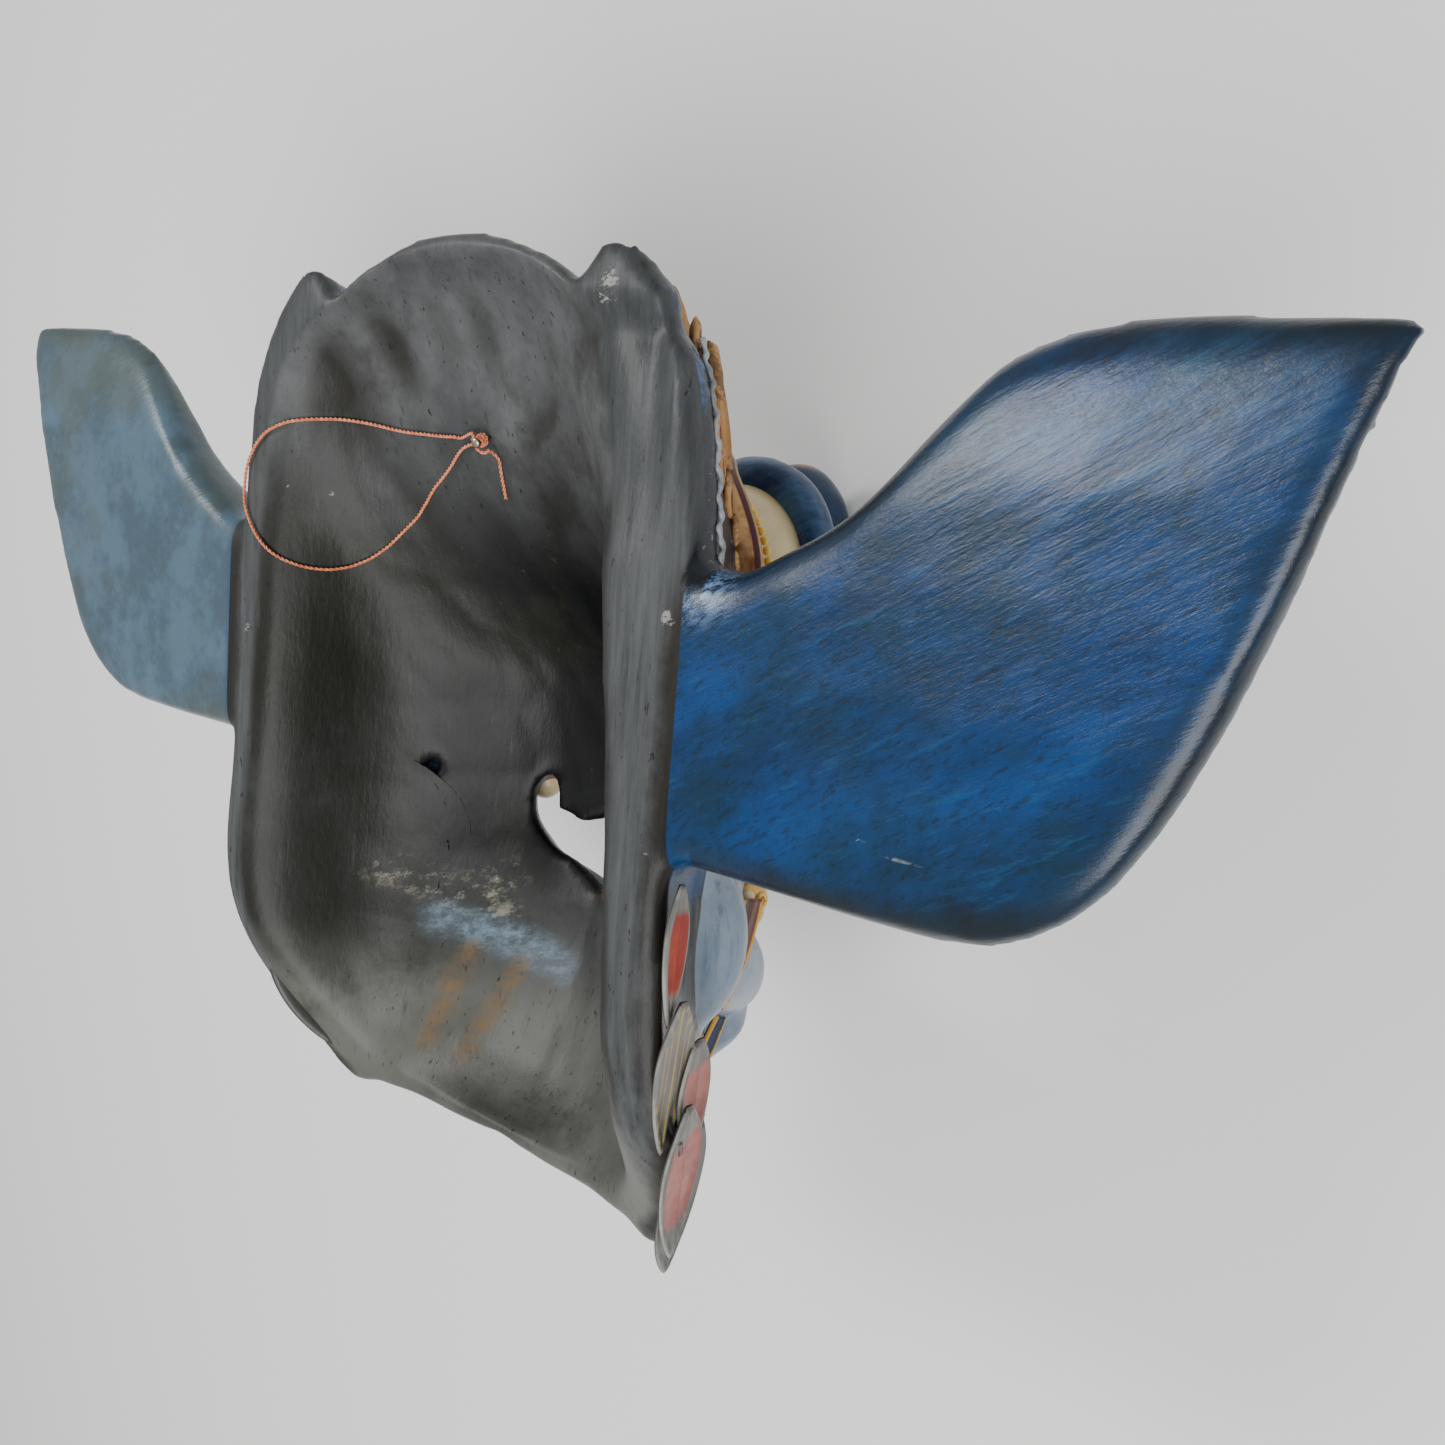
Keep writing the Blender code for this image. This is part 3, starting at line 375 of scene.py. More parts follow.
# The ears: plates that grow out of the rim, dished in front, swept back at the tips
EAR_TOP = [(0.215, 0.000), (0.276, 0.001), (0.320, 0.020), (0.365, 0.047), (0.423, 0.106),
           (0.455, 0.134), (0.507, 0.150), (0.560, 0.153), (0.610, 0.152), (0.640, 0.150),
           (0.655, 0.149)]
EAR_BOTTOM = [(0.215, -0.188), (0.277, -0.188), (0.350, -0.188), (0.430, -0.186), (0.470, -0.182),
              (0.500, -0.171), (0.525, -0.154), (0.545, -0.132), (0.565, -0.100), (0.590, -0.046),
              (0.615, 0.024), (0.640, 0.100), (0.655, 0.136)]
EAR_TIP_LIFT = {1: -0.015, -1: 0.017}
# Round the ear's section: share of its height, and of its thickness
EAR_SECTION = [(0.0, 0.50), (0.012, 0.26), (0.035, 0.09), (0.08, 0.01), (0.20, 0.0), (0.35, 0.0),
               (0.50, 0.0), (0.65, 0.0), (0.80, 0.0), (0.92, 0.01), (0.965, 0.09), (0.988, 0.26),
               (1.0, 0.50), (0.988, 0.76), (0.965, 0.93), (0.91, 1.0), (0.84, 0.94), (0.74, 0.80),
               (0.62, 0.70), (0.50, 0.66), (0.38, 0.71), (0.26, 0.82), (0.16, 0.95), (0.09, 1.0),
               (0.035, 0.93), (0.012, 0.76)]
ears = {}
for side in (1, -1):
    rings = []
    for x in np.concatenate([np.linspace(0.215, 0.60, 44), np.linspace(0.608, 0.653, 9)]):
        out = max(0.0, (x - 0.29) / 0.365)
        back = 0.003 - 0.017 * out ** 1.4
        thick = 0.058 - 0.030 * min(out * 1.6, 1.0)
        if x > 0.60:
            thick *= 1.0 - 0.45 * (x - 0.60) / 0.052
        low = float(table(EAR_BOTTOM, x))
        high = float(table(EAR_TOP, x)) + EAR_TIP_LIFT[side] * out
        rings.append([(side * x, back + t * thick, low + f * (high - low)) for f, t in EAR_SECTION])
    ears[side] = loft("ear", rings)


def ball(name, centre, radii, turn=0.0, around=40, rows=24):
    """An egg with a radius across, forward and up, turned in the plane of the face."""
    rings = []
    for i in range(rows + 1):
        lean = math.pi * i / rows
        d = -math.cos(lean) * radii[1]
        r = math.sin(lean)
        if i in (0, rows):
            rings.append([(centre[0], centre[1] + d, centre[2])])
            continue
        ring = []
        for k in range(around):
            a = 2 * math.pi * k / around
            u, v = r * math.cos(a) * radii[0], r * math.sin(a) * radii[2]
            ring.append((centre[0] + u * math.cos(turn) - v * math.sin(turn), centre[1] + d,
                         centre[2] + u * math.sin(turn) + v * math.cos(turn)))
        rings.append(ring)
    return loft(name, rings)


# The trunk: from between the eyes down past the mouth, out and up to a tip that curls back
TRUNK = [(0, 0.165, 0.000, 0.066), (0, 0.235, -0.035, 0.060), (0, 0.298, -0.090, 0.050),
         (0, 0.330, -0.150, 0.042), (0, 0.354, -0.200, 0.037), (0, 0.396, -0.228, 0.034),
         (0, 0.438, -0.206, 0.033), (0, 0.459, -0.150, 0.034), (0, 0.463, -0.080, 0.034),
         (0, 0.463, -0.010, 0.033), (0, 0.456, 0.038, 0.030), (0, 0.425, 0.062, 0.027),
         (0, 0.391, 0.050, 0.023)]
stops = smooth_path(TRUNK, 12)
path = [tuple(p[:3]) for p in stops]
radii = []
for i, p in enumerate(stops):
    fold = 0.5 + 0.5 * math.cos(2 * math.pi * i / 6.0)
    inside = min(max((i - 18) / 14, 0.0), 1.0) * min(max((134 - i) / 20, 0.0), 1.0)
    radii.append(p[3] * (1.0 + 0.02 * inside - 0.065 * inside * fold ** 4))
trunk = tube("trunk", path, radii, 40, tip=(0, 0.384, 0.038))

EYE = (0.123, 0.196, -0.008)
EYE_R = 0.066
lids = []
cheeks = []
for side in (1, -1):
    lid = []
    for i in range(41):
        a = math.radians(-18 + 216 * i / 40)
        swell = math.sin(math.pi * i / 40)
        lid.append((side * (EYE[0] - (EYE_R + 0.006) * math.cos(a)), EYE[1] + 0.008 + 0.012 * swell,
                    EYE[2] + (EYE_R + 0.004) * math.sin(a), 0.011 + 0.009 * swell))
    lids.append(tube("lid", [p[:3] for p in lid], [p[3] for p in lid], 20, across=(0.0, 1.0, 0.0)))
    cheeks.append(ball("cheek", (side * 0.178, 0.097, -0.268), (0.062, 0.044, 0.076),
                       turn=-side * 0.25))

# From ear to ear: across, forward, up and radius
JAW = [(-0.190, 0.110, -0.262, 0.028), (-0.162, 0.172, -0.302, 0.033), (-0.114, 0.232, -0.338, 0.036),
       (-0.058, 0.286, -0.356, 0.038), (0.0, 0.308, -0.362, 0.040), (0.058, 0.286, -0.356, 0.038),
       (0.114, 0.232, -0.338, 0.036), (0.162, 0.172, -0.302, 0.033), (0.190, 0.110, -0.262, 0.028)]
UPPER_LIP = [(-0.205, 0.120, -0.205, 0.024), (-0.150, 0.190, -0.196, 0.028),
             (-0.080, 0.250, -0.186, 0.030), (0.0, 0.270, -0.180, 0.032),
             (0.080, 0.250, -0.186, 0.030), (0.150, 0.190, -0.196, 0.028),
             (0.205, 0.120, -0.205, 0.024)]
lower_lip = bar("lower_lip", JAW, 6, 28, across=(0.0, 0.0, 1.0))
upper_lip = bar("upper_lip", UPPER_LIP, 6, 28, across=(0.0, 0.0, 1.0))
for pierced in [upper_lip] + cheeks:
    cut(pierced, gathered("openings", viewing_holes()))
chin = [ball("chin", (0, 0.225, -0.395), (0.115, 0.105, 0.060)),
        ball("chin_lobe", (0.072, 0.258, -0.390), (0.043, 0.040, 0.036)),
        ball("chin_lobe", (-0.072, 0.258, -0.390), (0.043, 0.040, 0.036))]

# The lower edge of the rim is left a little thicker than the wall
low_edge = [(on_right(x, z), d + 0.008, z + 0.005) for x, z, d in OUTER_EDGE[20:]]
low_edge += [(-x, d + 0.008, z + 0.005) for x, z, d in OUTER_EDGE[-2:19:-1]]
stops = [tuple(q) for q in smooth_path(low_edge, 5)]
low_rim = tube("low_rim", stops, [0.0062] * len(stops), 14)

# Every carved shape keeps a search tree, so that the finished skin knows what it belongs to
groups = {
    "shell": [shell, low_rim], "ear": [ears[1], ears[-1]], "trunk": [trunk], "lid": lids,
    "cheek": cheeks, "lip": [lower_lip, upper_lip], "chin": chin,
}
trees = {}
for name, members in groups.items():
    verts = []
    tris = []
    for member in members:
        start = len(verts)
        verts += [v.co.copy() for v in member.data.vertices]
        tris += [tuple(start + v for v in p.vertices) for p in member.data.polygons]
    trees[name] = BVHTree.FromPolygons(verts, tris)

joined = bmesh.new()
for members in groups.values():
    for member in members:
        joined.from_mesh(member.data)
        bpy.data.objects.remove(member)
skin = bpy.data.meshes.new("carved_mask")
joined.to_mesh(skin)
joined.free()
mask = placed("carved_mask", skin)
SKIN_STEP_M = 0.0023
step = mask.modifiers.new("skin", "REMESH")
step.mode = "VOXEL"
step.voxel_size = SKIN_STEP_M
skin = bpy.data.meshes.new_from_object(mask.evaluated_get(bpy.context.evaluated_depsgraph_get()))
mask.modifiers.clear()
mask.data = skin


def positions(mesh):
    p = np.zeros(len(mesh.vertices) * 3)
    mesh.vertices.foreach_get("co", p)
    return p.reshape(-1, 3)


def mesh_edges(mesh):
    e = np.zeros(len(mesh.edges) * 2, np.int32)
    mesh.edges.foreach_get("vertices", e)
    return e.reshape(-1, 2)


def smoothed(p, e, times, amount):
    """Each point moved towards the middle of its neighbours."""
    count = np.bincount(e.ravel(), minlength=len(p))[:, None]
    for _ in range(times):
        total = np.zeros_like(p)
        np.add.at(total, e[:, 0], p[e[:, 1]])
        np.add.at(total, e[:, 1], p[e[:, 0]])
        p = p + (total / np.maximum(count, 1) - p) * amount
    return p


def mask_places(p):
    """Points in metres as mask measures: across, forward and up the face."""
    return p[:, 0] / MASK_M, FACE_DEPTH - p[:, 2] / MASK_M, p[:, 1] / MASK_M + MIDDLE_Z


def move_points(mesh, p):
    mesh.vertices.foreach_set("co", p.ravel())
    mesh.update()


e = mesh_edges(skin)
p = smoothed(positions(skin), e, 7, 0.5)
# Nothing carved outside stands into the hollow
x, d, z = mask_places(p)
half = table(HOLLOW_HALF, z)
deep = hollow_at(x, z)
inside = (np.abs(x) < half * 0.985) & (z > -0.474) & (z < 0.196) & (d < deep) & (d > -0.02)
p[inside, 2] = (FACE_DEPTH - deep[inside]) * MASK_M
p = smoothed(p, e, 1, 0.35)


# Gouge marks: shallow scallops left by a round gouge in the hollow, and soft knife flats outside
def scallops(x, z, size_x, size_z, seed):
    """Squared distance to the nearest stroke's middle, 0 in a stroke and up to 1 on its ridge."""
    gx = np.floor(x / size_x).astype(int)
    gz = np.floor(z / size_z).astype(int)
    best = np.full(len(x), 9.0)
    for i in (-1, 0, 1):
        for k in (-1, 0, 1):
            cx, cz = gx + i, gz + k
            h = np.sin(cx * 127.1 + cz * 311.7 + seed) * 43758.5453
            r1 = h - np.floor(h)
            h = np.sin(cx * 269.5 + cz * 183.3 + seed * 2) * 24634.6345
            r2 = h - np.floor(h)
            dx = x / size_x - cx - 0.2 - 0.6 * r1
            dz = z / size_z - cz - 0.2 - 0.6 * r2
            best = np.minimum(best, dx * dx + dz * dz)
    return np.minimum(best, 1.0)


# In the crown the hollow runs softly into the right rim
x, d, z = mask_places(p)
soft = np.clip((x - 0.10) / 0.03, 0, 1) * np.clip((0.235 - x) / 0.02, 0, 1) * (d < 0.06)
soft *= np.clip(z / 0.05, 0, 1) * np.clip((0.165 - z) / 0.02, 0, 1)
p += (smoothed(p, e, 150, 0.6) - p) * soft[:, None]
x, d, z = mask_places(p)
half = table(HOLLOW_HALF, z)
back = hollow_at(x, z) + 0.015 - d
in_hollow = np.clip((half * 0.93 - np.abs(x)) / 0.03, 0, 1) * (back > 0)
in_hollow *= np.clip((z + 0.47) / 0.03, 0, 1) * np.clip((0.19 - z) / 0.02, 0, 1)
marks = scallops(x + 0.35 * z, z - 0.2 * x, 0.034, 0.060, 3.0)
fine = scallops(x, z, 0.016, 0.030, 7.0)
p[:, 2] -= in_hollow * (0.0014 * (0.5 - marks) + 0.0003 * (0.5 - fine))
# The deepest gouge strokes fan out over the crown: place, half length, half width, lean, depth in
# metres, and how much painted shade lies in them
STROKES = [
    (-0.170, 0.108, 0.058, 0.036, 0.30, 0.0020, 0.95), (-0.101, 0.136, 0.036, 0.017, 0.15, 0.0018, 0.65),
    (-0.048, 0.150, 0.032, 0.014, 0.05, 0.0009, 0.25), (-0.002, 0.147, 0.028, 0.014, 0.0, 0.0011, 0.45),
    (0.040, 0.087, 0.036, 0.011, -0.95, 0.0014, 0.55), (0.066, 0.125, 0.032, 0.014, -0.45, 0.0009, 0.2),
    (-0.205, 0.010, 0.060, 0.020, 0.05, 0.0012, 0.8), (0.020, 0.020, 0.045, 0.016, -0.9, 0.0012, 0.5),
    (-0.120, 0.020, 0.040, 0.018, 0.5, 0.0010, 0.3), (-0.060, 0.005, 0.040, 0.018, 0.2, 0.0009, 0.3),
]
stroke_shade = np.zeros(len(p))
for cx, cz, long, broad, lean, cut_m, tone in STROKES:
    u = (x - cx) * math.cos(lean) + (z - cz) * math.sin(lean)
    v = -(x - cx) * math.sin(lean) + (z - cz) * math.cos(lean)
    here = np.exp(-((u / broad) ** 2 + (v / long) ** 2) ** 1.2) * np.clip(in_hollow * 2, 0, 1)
    stroke_shade = np.maximum(stroke_shade, here * tone)
    p[:, 2] -= here * cut_m
# The ear plates: soft hammered flats, and the upper band tilted up along a crease
ear_side = np.clip((np.abs(x) - 0.275) / 0.03, 0, 1) * np.clip((0.024 - d) / 0.014, 0, 1)
p[:, 2] += ear_side * 0.0006 * (scallops(x, z, 0.085, 0.060, 11.0) - 0.5)
crease = 0.030 + 0.11 * np.clip(np.abs(x) - 0.30, 0, 1)
p[:, 2] -= ear_side * 0.036 * np.clip(z - crease, 0, 0.09) ** 1.5 / 0.3
p = np.clip(p, cad_box[0], cad_box[1])
move_points(skin, p)


# Which carved shape each point of the skin belongs to, as crisp fields for the paint
def add_field(mesh, name, values):
    layer = mesh.attributes.new(name, "FLOAT", "POINT")
    layer.data.foreach_set("value", np.asarray(values, np.float32))


gaps = {name: np.array([tree.find_nearest(Vector(q))[3] for q in p]) for name, tree in trees.items()}
names = list(gaps)
stack = np.stack([gaps[name] for name in names])
for name in ("ear", "trunk", "lid", "cheek", "lip", "chin"):
    own = gaps[name]
    others = np.min(np.stack([gaps[n] for n in names if n != name]), axis=0)
    add_field(skin, name, np.clip((others - own) * 1000, -6, 6))
add_field(skin, "back", np.clip(back * 100, -6, 6))
crest_half = table([(row[1], row[0]) for row in CREST[24:6:-1]], z) * side_share(x, z, RIGHT_SHARE)
hollow_half = half * side_share(x, z, RIGHT_HOLLOW)
add_field(skin, "past_hollow", np.clip((np.abs(x) - hollow_half) * 100, -6, 6))
add_field(skin, "past_crest", np.clip((np.abs(x) - crest_half) * 100, -6, 6))
normals = np.zeros(len(skin.vertices) * 3)
skin.vertices.foreach_get("normal", normals)
normals = normals.reshape(-1, 3)
bend = ((smoothed(p, e, 3, 0.6) - p) * normals).sum(1)
add_field(skin, "hollowness", np.clip(bend * 4000, -1, 1))
add_field(skin, "stroke_shade", stroke_shade)


def off_line(stops):
    """Distance of every point from a line over the mask, in mm."""
    best = np.full(len(x), 1e3)
    for (ax, az), (bx, bz) in zip(stops, stops[1:]):
        along = (x - ax) * (bx - ax) + (z - az) * (bz - az)
        t = np.clip(along / ((bx - ax) ** 2 + (bz - az) ** 2), 0, 1)
        best = np.minimum(best, np.hypot(x - ax - t * (bx - ax), z - az - t * (bz - az)))
    return np.minimum(best * MASK_M * 1000, 60.0)


# Lines along which the lower hollow and the right ear are scuffed and stained, and along which a
# painted reflection lies in the lower hollow
add_field(skin, "off_cream", off_line([(-0.168, -0.299), (-0.121, -0.316), (-0.085, -0.296),
                                       (-0.098, -0.318), (-0.065, -0.340)]))
add_field(skin, "off_sheen", off_line([(-0.128, -0.339), (-0.080, -0.346), (-0.017, -0.358)]))
add_field(skin, "off_ochre", np.minimum(off_line([(-0.101, -0.362), (-0.116, -0.442)]),
                                        off_line([(-0.055, -0.366), (-0.078, -0.442)])))
add_field(skin, "off_scratch", off_line([(0.396, -0.137), (0.425, -0.141), (0.458, -0.139)]))
add_field(skin, "mark", in_hollow * marks)
ear_low = table(EAR_BOTTOM, np.abs(x))
ear_lift = np.where(x > 0, EAR_TIP_LIFT[1], EAR_TIP_LIFT[-1])
ear_high = table(EAR_TOP, np.abs(x)) + ear_lift * np.clip((np.abs(x) - 0.29) / 0.365, 0, 1)
ear_edge = np.minimum(np.minimum(z - ear_low, ear_high - z), 0.655 - np.abs(x))
add_field(skin, "ear_edge", np.where(np.abs(x) > 0.268, np.clip(ear_edge * MASK_M * 1000, -5, 60), 60))
above_crease = np.clip((z - crease + 0.006 * np.sin(x * 60.0)) / 0.028, -1, 1)
add_field(skin, "ear_upper", above_crease * (np.abs(x) > 0.26))
# The lips turn red between the jaw's middle line and the upper lip's
jaw_z = table([(0.0, -0.362), (0.058, -0.356), (0.114, -0.338), (0.162, -0.302), (0.190, -0.262)],
              np.abs(x))
top_z = table([(0.0, -0.180), (0.080, -0.186), (0.150, -0.196), (0.205, -0.205)], np.abs(x))
lip_red = np.where(np.abs(x) < 0.150, np.minimum(z - jaw_z - 0.006, top_z - z + 0.002), -0.04)
add_field(skin, "lip_red", np.clip(lip_red * 100, -4, 4))


def to_linear(hexed):
    """An sRGB hex colour as linear RGBA."""
    parts = [int(hexed[i:i + 2], 16) / 255 for i in (1, 3, 5)]
    return tuple(c / 12.92 if c <= 0.04045 else ((c + 0.055) / 1.055) ** 2.4 for c in parts) + (1.0,)


# The nodes that a finish is made of: Blender's name, fixed settings and the output that is used
NODES = {
    "mix": ("Mix", {"data_type": "RGBA"}, "Result"),
    "share": ("Mix", {"data_type": "FLOAT"}, "Result"),
    "ramp": ("MapRange", {"interpolation_type": "SMOOTHSTEP"}, "Result"),
    "noise": ("TexNoise", {}, "Fac"),
    "turned": ("Mapping", {"vector_type": "TEXTURE"}, "Vector"),
    "field": ("Attribute", {}, "Fac"),
    "bump": ("Bump", {}, "Normal"),
    "place": ("TexCoord", {}, "Object"),
    "distance": ("VectorMath", {"operation": "DISTANCE"}, "Value"),
    "x": ("SeparateXYZ", {}, "X"),
    "y": ("SeparateXYZ", {}, "Y"),
    "z": ("SeparateXYZ", {}, "Z"),
}


class Paint:
    """A finish under construction."""

    def __init__(self, name, roughness=0.5, metallic=0.0):
        self.finish = bpy.data.materials.new(name)
        self.finish.use_nodes = True
        self.tree = self.finish.node_tree
        self.surface = self.tree.nodes["Principled BSDF"]
        self.wear("Roughness", roughness)
        self.wear("Metallic", metallic)
        self.place = self.add("place")

    def put(self, value, socket):
        if isinstance(value, bpy.types.NodeSocket):
            self.tree.links.new(value, socket)
        else:
            socket.default_value = to_linear(value) if isinstance(value, str) else value

    def wear(self, socket, value):
        """A value, a hex colour or a node's output for one socket of the surface."""
        self.put(value, self.surface.inputs[socket])

    def add(self, what, *inputs, **settings):
        """One node with its settings and links, by its row in NODES or as one step of maths."""
        kind, fixed, output = NODES.get(what, ("Math", {"operation": what}, "Value"))
        node = self.tree.nodes.new("ShaderNode" + kind)
        for key, value in {**fixed, **settings}.items():
            if key in node.inputs:
                self.put(value, node.inputs[key])
            else:
                setattr(node, key, value)
        for value, socket in zip(inputs, [s for s in node.inputs if s.enabled]):
            self.put(value, socket)
        return next(s for s in node.outputs if s.enabled and s.name == output)

    def near(self, spot, reach):
        """1 at a place on the mask, 0 at the given reach in metres; spot is in mask measures."""
        return self.add("ramp", self.add("distance", self.place, world(*spot)), *reach, 1.0, 0.0)


# Finish: brushed house paint over primer on carved wood, black behind and blue outside,
# rubbed through on the ridges, darker in the grooves.
# A noise's scale is its waves in a metre: 14 and 32 are clouds of 70 and 30 mm, 60 is wood grain of
# 17 mm, 520 is pores of 2 mm and 620 is brush hairs of 1.6 mm. Real hairs leave lines of 0.3 mm,
# too fine to show here, so they are drawn coarser.
m = Paint("brushed_black_and_blue_paint")
# Across, up the face and above the table, in metres
px = m.add("x", m.place)
py = m.add("y", m.place)
pz = m.add("z", m.place)
wide = m.add("ABSOLUTE", px)
grain = m.add("noise", m.add("turned", m.place, Scale=(1, 1 / 0.12, 1)), Scale=60, Detail=6,
              Roughness=0.65)
pores = m.add("noise", m.add("turned", m.place, Scale=(1, 1 / 0.35, 1)), Scale=520, Detail=3,
              Roughness=0.6)
cloud = m.add("noise", m.place, Scale=14, Detail=5, Roughness=0.62)
blotch = m.add("noise", m.add("turned", m.place, Location=(0.3, 0.1, 0.0)), Scale=32, Detail=6,
               Roughness=0.7)
brush = m.add("noise", m.add("turned", m.place, Rotation=(0, 0, 0.5), Scale=(1 / 0.35, 1, 1)), Scale=46,
              Detail=7, Roughness=0.68)

# Black-grey inside: lighter and greyer in the crown, olive-black at the sides, deep black in the
# face cavity, where the black paint is deepened by painted shade
upright = m.add("noise", m.add("turned", m.place, Scale=(1, 1 / 0.08, 1)), Scale=300, Detail=5,
                Roughness=0.7)
black = m.add("mix", m.add("ramp", cloud, 0.35, 0.65), "#262722", "#3b3d3b")
crown_grey = m.add("mix", m.add("ramp", blotch, 0.3, 0.7), "#4f5152", "#6b6d6e")
in_crown = m.add("ADD", m.add("ramp", py, 0.055, 0.105),
                 m.add("MULTIPLY", m.add("ramp", px, -0.05, 0.01), 0.25))
black = m.add("mix", m.add("MULTIPLY", in_crown, m.add("ramp", cloud, 0.2, 0.55)), black, crown_grey)
left_dark = m.add("MULTIPLY", m.add("ramp", px, -0.062, -0.08),
                  m.add("MULTIPLY", m.add("ramp", py, 0.1, 0.06), m.add("ramp", blotch, 0.3, 0.52)))
black = m.add("mix", m.add("MULTIPLY", left_dark, 0.7), black, "#22221a")
# Painted shade: darker colour in the deepest gouge strokes
shade = m.add("MULTIPLY", m.add("field", attribute_name="stroke_shade"),
              m.add("ramp", blotch, 0.25, 0.6, 0.7, 1.2))
black = m.add("mix", m.add("MINIMUM", shade, 0.92), black, "#201f17")
# Painted sheen: the lower hollow turns lighter grey towards the chin
low_grey_sheen = m.add("MULTIPLY", m.add("ramp", py, -0.075, -0.115),
                 m.add("ramp", cloud, 0.25, 0.6, 0.35, 0.8))
black = m.add("mix", low_grey_sheen, black, "#777871")
# Painted shade: the deep part of the face cavity turns near black
deep = m.add("MULTIPLY", m.add("ramp", pz, 0.178, 0.14), m.add("ramp", py, -0.07, -0.045))
deep = m.add("MULTIPLY", deep, m.add("ramp", px, -0.084, -0.052))
black = m.add("mix", m.add("MULTIPLY", deep, 0.96), black, "#08090a")
olive = m.add("ramp",
              m.add("noise", m.add("turned", m.place, Location=(1.7, 0.4, 0.0)), Scale=20, Detail=5,
                    Roughness=0.65), 0.5, 0.68)
black = m.add("mix", m.add("MULTIPLY", olive, 0.6), black, "#25251b")
past_hollow = m.add("field", attribute_name="past_hollow")
past_crest = m.add("field", attribute_name="past_crest")
rim = m.add("mix", m.add("ramp", py, 0.1, 0.06),
            m.add("mix", m.add("ramp", upright, 0.3, 0.7), "#36393a", "#4c5051"),
            m.add("mix", m.add("ramp", upright, 0.3, 0.7), "#4a4d4e", "#66696a"))
on_rim = m.add("MULTIPLY", m.add("ramp", past_hollow, -0.6, 0.6), m.add("ramp", pz, 0.186, 0.2))
black = m.add("mix", m.add("MULTIPLY", on_rim, 0.8), black, rim)
olive_side = m.add("mix", m.add("ramp", grain, 0.4, 0.7), "#17150f", "#332d22")
past = m.add("ADD", past_crest, m.add("MULTIPLY", m.add("SUBTRACT", blotch, 0.5), 3.0))
past = m.add("MULTIPLY", m.add("ramp", past, -1.0, 0.9), m.add("ramp", py, 0.07, 0.05))
black = m.add("mix", m.add("MULTIPLY", past, 0.92), black, olive_side)
black = m.add("mix", m.add("MULTIPLY", m.add("ramp", upright, 0.6, 0.76), 0.14), black, "#8b8e8f")
black = m.add("mix", m.add("MULTIPLY", m.add("ramp", upright, 0.42, 0.3), 0.35), black, "#151617")
specks = m.add("ramp", pores, 0.36, 0.28)
black = m.add("mix", m.add("MULTIPLY", specks, 0.8), black, "#141517")

# Worn and stained places in the lower hollow, and a painted blue-white reflection across it
scratch = m.add("noise", m.add("turned", m.place, Rotation=(0, 0, 0.35), Scale=(1 / 0.22, 1, 1)),
                Scale=170, Detail=6, Roughness=0.8)
cream = m.add("MULTIPLY", m.add("ramp", m.add("field", attribute_name="off_cream"), 10.0, 0.5),
              m.add("ramp", scratch, 0.5, 0.66))
black = m.add("mix", m.add("MULTIPLY", cream, 0.85), black, "#a39e8b")
# Painted reflection: a blue-white streak of window light across the lower hollow
sheen = m.add("MULTIPLY", m.add("ramp", m.add("field", attribute_name="off_sheen"), 10.0, 1.0),
              m.add("ramp", scratch, 0.4, 0.62, 0.25, 1.0))
black = m.add("mix", m.add("MULTIPLY", sheen, 0.75), black, "#88a0b4")
stain = m.add("MULTIPLY", m.add("ramp", m.add("field", attribute_name="off_ochre"), 6.5, 0.5),
              m.add("ramp", scratch, 0.38, 0.6, 0.15, 1.0))
black = m.add("mix", m.add("MULTIPLY", stain, 0.62), black, "#8a6a3c")
flaked = m.add("noise", m.add("turned", m.place, Rotation=(0, 0, 0.2), Scale=(1 / 0.45, 1, 1)), Scale=420,
               Detail=5, Roughness=0.8)
# Chips in the paint: place on the mask, and reach in metres
CHIPS = [
    ((0.170, 0.000, 0.168), 0.0075), ((0.243, 0.000, -0.032), 0.0036), ((-0.203, 0.010, 0.029), 0.0012),
    ((-0.178, 0.035, 0.025), 0.0016), ((-0.241, 0.000, -0.091), 0.0034), ((0.238, 0.000, -0.180), 0.0018),
]
for spot, reach in CHIPS:
    chip = m.add("MULTIPLY", m.near(spot, (0.0, reach)), m.add("ramp", flaked, 0.47, 0.6))
    black = m.add("mix", m.add("ramp", chip, 0.2, 0.42, 0.0, 0.85), black, "#a9a8a2")

# Blue outside: ears and crown, brushed along the ear, with dark smudges at the edges
slant = m.add("noise", m.add("turned", m.place, Rotation=(0, 0, 0.5), Scale=(1 / 0.14, 1, 1)), Scale=260,
              Detail=5, Roughness=0.75)
fleck = m.add("noise", m.add("turned", m.place, Rotation=(0, 0, 0.62), Scale=(1 / 0.3, 1, 1)), Scale=620,
              Detail=4, Roughness=0.8)
blue = m.add("mix", m.add("ramp", brush, 0.3, 0.66), "#042a50", "#06407a")
blue = m.add("mix", m.add("MULTIPLY", m.add("ramp", blotch, 0.42, 0.7), 0.7), blue, "#0b3040")
blue = m.add("mix",
             m.add("MULTIPLY",
                   m.add("ramp",
                         m.add("noise", m.add("turned", m.place, Location=(2.0, 0.0, 0.0)), Scale=9,
                               Detail=5, Roughness=0.6), 0.52, 0.66), 0.6), blue, "#0e2a33")
blue = m.add("mix", m.add("MULTIPLY", m.add("ramp", fleck, 0.5, 0.36), 0.55), blue, "#0a2028")
blue = m.add("mix", m.add("MULTIPLY", m.add("ramp", slant, 0.55, 0.7), 0.35), blue, "#22608f")
